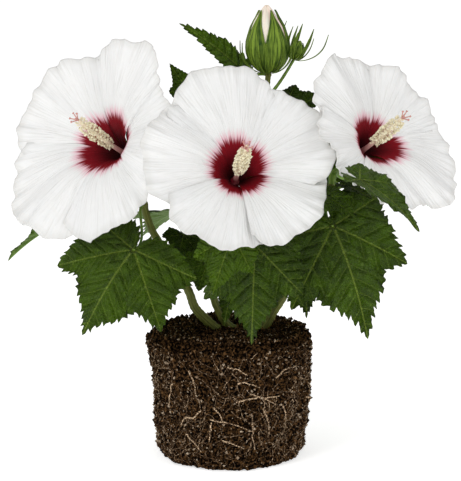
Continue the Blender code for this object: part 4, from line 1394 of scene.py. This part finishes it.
@dataclass
class Bud:
    """A closed bud: furled petals inside five calyx lobes, with narrow bracts round its foot."""

    materials: Materials
    name: str
    foot: tuple
    faces: tuple
    length: float
    radius: float
    bracts: int
    bract_length: float
    bract_spread: float
    bract_stray: float = 0.085
    core_finish: str = "bud_petal"
    rows: int = 48
    sides: int = 60
    lobe_end: float = 0.925
    lobe_widest: float = 0.42
    lobe_thickness: float = 0.0007
    bract_half: float = 0.0019
    bract_thickness: float = 0.0005
    bract_tone: float = 0.7
    # Share of the length and share of the radius
    profile: tuple = (
        (0.0, 0.24), (0.05, 0.52), (0.12, 0.76), (0.20, 0.90), (0.30, 0.985), (0.38, 1.0), (0.48, 0.97),
        (0.58, 0.87), (0.68, 0.77), (0.78, 0.60), (0.86, 0.44), (0.93, 0.29), (1.0, 0.10),
    )

    @cached_property
    def axes(self) -> tuple[Array, Array, Array]:
        """Along the bud, and two ways across it."""
        faces = unit(np.array(self.faces, dtype=float))
        right = unit(np.cross((0.0, 1.0, 0.0), faces))
        return faces, right, np.cross(faces, right)

    def place(self, share: Array, angle: Array, out: Array) -> Array:
        """A point at a share of the bud's length, an angle round it and a distance out of its skin."""
        faces, right, back = self.axes
        radius = np.interp(share, *np.array(self.profile).T) * self.radius + out
        along = faces * (share * self.length)[..., None]
        return np.array(self.foot) + along + spoke(angle, right, back) * radius[..., None]

    def core(self) -> Patch:
        """The furled petals."""
        share = np.linspace(0.02, 1.0, self.rows)[:, None] * np.ones((1, self.sides))
        angle = np.linspace(0, FULL_TURN, self.sides, endpoint=False)[None, :] * np.ones((self.rows, 1))
        furl = 0.05 * self.radius * np.sin(5 * angle + 6 * share) * smooth_step((share - 0.5) / 0.3)
        grid = self.place(share, angle, -0.06 * self.radius + furl)
        tip = ((self.rows - 1) * self.sides + np.arange(self.sides))[None, :]
        lists = [grid_faces(self.rows, self.sides, True), tip]
        spots = np.stack([angle / 2, share], -1).reshape(-1, 2)
        return Patch(grid.reshape(-1, 3), lists, [spots[part] for part in lists])

    def lobe(self, number: int) -> Patch:
        """One calyx lobe, ribbed down its middle and pointed at its tip."""
        share, side = sheet_shares(40, 19)
        past = np.maximum((share - self.lobe_widest) / (1 - self.lobe_widest), 0.0)
        narrow = np.maximum(1 - past**1.2, 0.0004) ** 0.72
        angle = FULL_TURN * (number + 0.15) / PETALS + side * narrow * (math.pi / PETALS) * 1.03
        ribs = 0.022 * np.cos(side * 3 * math.pi) + 0.035 * (1 - side**2)
        flare = 0.05 * smooth_step((share - 0.86) / 0.14)
        out = self.radius * (ribs * rise_and_hold(share, 6) + 0.012 + flare)
        grid = self.place(share * self.lobe_end, angle, out)
        return thin_sheet(grid, np.stack([side, share * 2], -1), self.lobe_thickness)

    def bract(self, number: int, draw: Draw) -> Patch:
        """One narrow bract that leaves the foot and bends upwards."""
        faces, right, back = self.axes
        out = spoke(np.array(FULL_TURN * (number + 0.5 * draw.random()) / self.bracts), right, back)
        share, side = sheet_shares(18, 5)
        rise = self.bract_length * draw.uniform(0.8, 1.1) * share**1.5
        spread = self.bract_spread * draw.uniform(1.03 - self.bract_stray, 1.03 + self.bract_stray)
        reach = 0.25 * self.radius + spread * rise_and_hold(share, 1.9)
        half = self.bract_half * (1 - share**3) * (0.7 + 0.6 * share) + 0.00012
        reach = reach + 0.0004 * side**2
        middle = np.array(self.foot) + faces * (rise - 0.001)[..., None] + out * reach[..., None]
        grid = middle + np.cross(faces, out) * (side * half)[..., None]
        return thin_sheet(grid, np.stack([side * 0.4, share], -1), self.bract_thickness, self.bract_tone)

    def build(self) -> None:
        """Builds the bud."""
        draw = np.random.default_rng(SEED + 40 + len(self.name))
        green = [self.lobe(number) for number in range(PETALS)]
        green += [self.bract(number, draw) for number in range(self.bracts)]
        Piece(f"{self.name}_lobes", self.materials["calyx"] * 2, [self.name], "bud", green).build()
        Piece(f"{self.name}_petals", self.materials[self.core_finish], [], "bud", [self.core()]).build()


@dataclass
class Studio:
    """Floor, soft lights and camera."""

    floor_size: float = 40.0
    floor_grey: float = 0.93
    floor_glow: float = 0.56
    world: float = 0.56
    # Name, place, size and power of each light
    lights: tuple = (("key", (-1.1, -1.3, 1.7), 0.9, 14.5), ("fill", (1.4, -0.9, 1.0), 1.2, 4.5))
    lit_place: tuple = (0.0, 0.0, 0.2)
    camera_place: tuple = (0.0, -1.75, 0.50)
    camera_pitch: float = math.radians(9.573)
    camera_lens: float = 147.2
    sensor_width: float = 36.0

    def link(self, name: str, data: bpy.types.ID) -> bpy.types.Object:
        """A new object in the scene."""
        made = bpy.data.objects.new(name, data)
        bpy.context.scene.collection.objects.link(made)
        return made

    def floor(self) -> None:
        """The pale floor."""
        half = self.floor_size / 2
        mesh = bpy.data.meshes.new("floor")
        corners = [(-half, -half, 0), (half, -half, 0), (half, half, 0), (-half, half, 0)]
        mesh.from_pydata(corners, [], [(0, 1, 2, 3)])
        material = bpy.data.materials.new("floor_white")
        material.use_nodes = True
        Graph(material.node_tree).fill(material.node_tree.nodes["Principled BSDF"], {
            "Base Color": (self.floor_grey,) * 3, "Roughness": 0.9,
            "Emission Color": (1.0, 1.0, 1.0), "Emission Strength": self.floor_glow,
        })
        mesh.materials.append(material)
        floor = self.link("floor", mesh)

    def light(self, name: str, place: tuple, size: float, power: float) -> None:
        """A soft square light that looks at the plant."""
        lamp = bpy.data.lights.new(name, "AREA")
        lamp.size, lamp.energy = size, power
        holder = self.link(name, lamp)
        holder.location = place
        holder.rotation_euler = (Vector(self.lit_place) - Vector(place)).to_track_quat("-Z", "Y").to_euler()

    def camera(self) -> None:
        """The camera, at the photograph's angle."""
        camera = bpy.data.cameras.new("camera")
        camera.sensor_fit = "HORIZONTAL"
        camera.sensor_width, camera.lens = self.sensor_width, self.camera_lens
        holder = self.link("camera", camera)
        holder.location = self.camera_place
        holder.rotation_euler = (math.pi / 2 - self.camera_pitch, 0.0, 0.0)
        bpy.context.scene.camera = holder

    def build(self) -> None:
        """Sets up the floor, the lights and the camera."""
        bpy.context.scene.view_settings.view_transform = "Standard"
        self.floor()
        world = bpy.data.worlds.new("studio")
        world.use_nodes = True
        background = world.node_tree.nodes["Background"]
        Graph(world.node_tree).fill(background, {"Color": (1.0, 1.0, 1.0), "Strength": self.world})
        bpy.context.scene.world = world
        for light in self.lights:
            self.light(*light)
        self.camera()


def write_sizes() -> None:
    """Brings the scene's matrices up to date."""
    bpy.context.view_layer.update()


def main() -> None:
    """Builds the plant and its studio."""
    logging.basicConfig(level=logging.INFO, format="%(message)s")
    materials = make_materials()
    blooms = [OpenBloom(materials, bloom) for bloom in BLOOMS]
    bud = Bud(materials, "bud", BUD_FOOT, (-0.03, 0.0, 1.0), 0.063, 0.0200, 11, 0.030, 0.0192)
    small_bud = Bud(materials, "small_bud", SMALL_BUD_FOOT, (0.35, 0.0, 1.0), 0.018, 0.0070, 9, 0.031,
                    0.0150, 0.45, "calyx")
    foliage = Foliage(materials)
    for assembly in (RootBall(materials), Stems(materials), foliage, *blooms, bud, small_bud, Studio()):
        assembly.build()
    write_sizes()


if __name__ == "__main__":
    main()
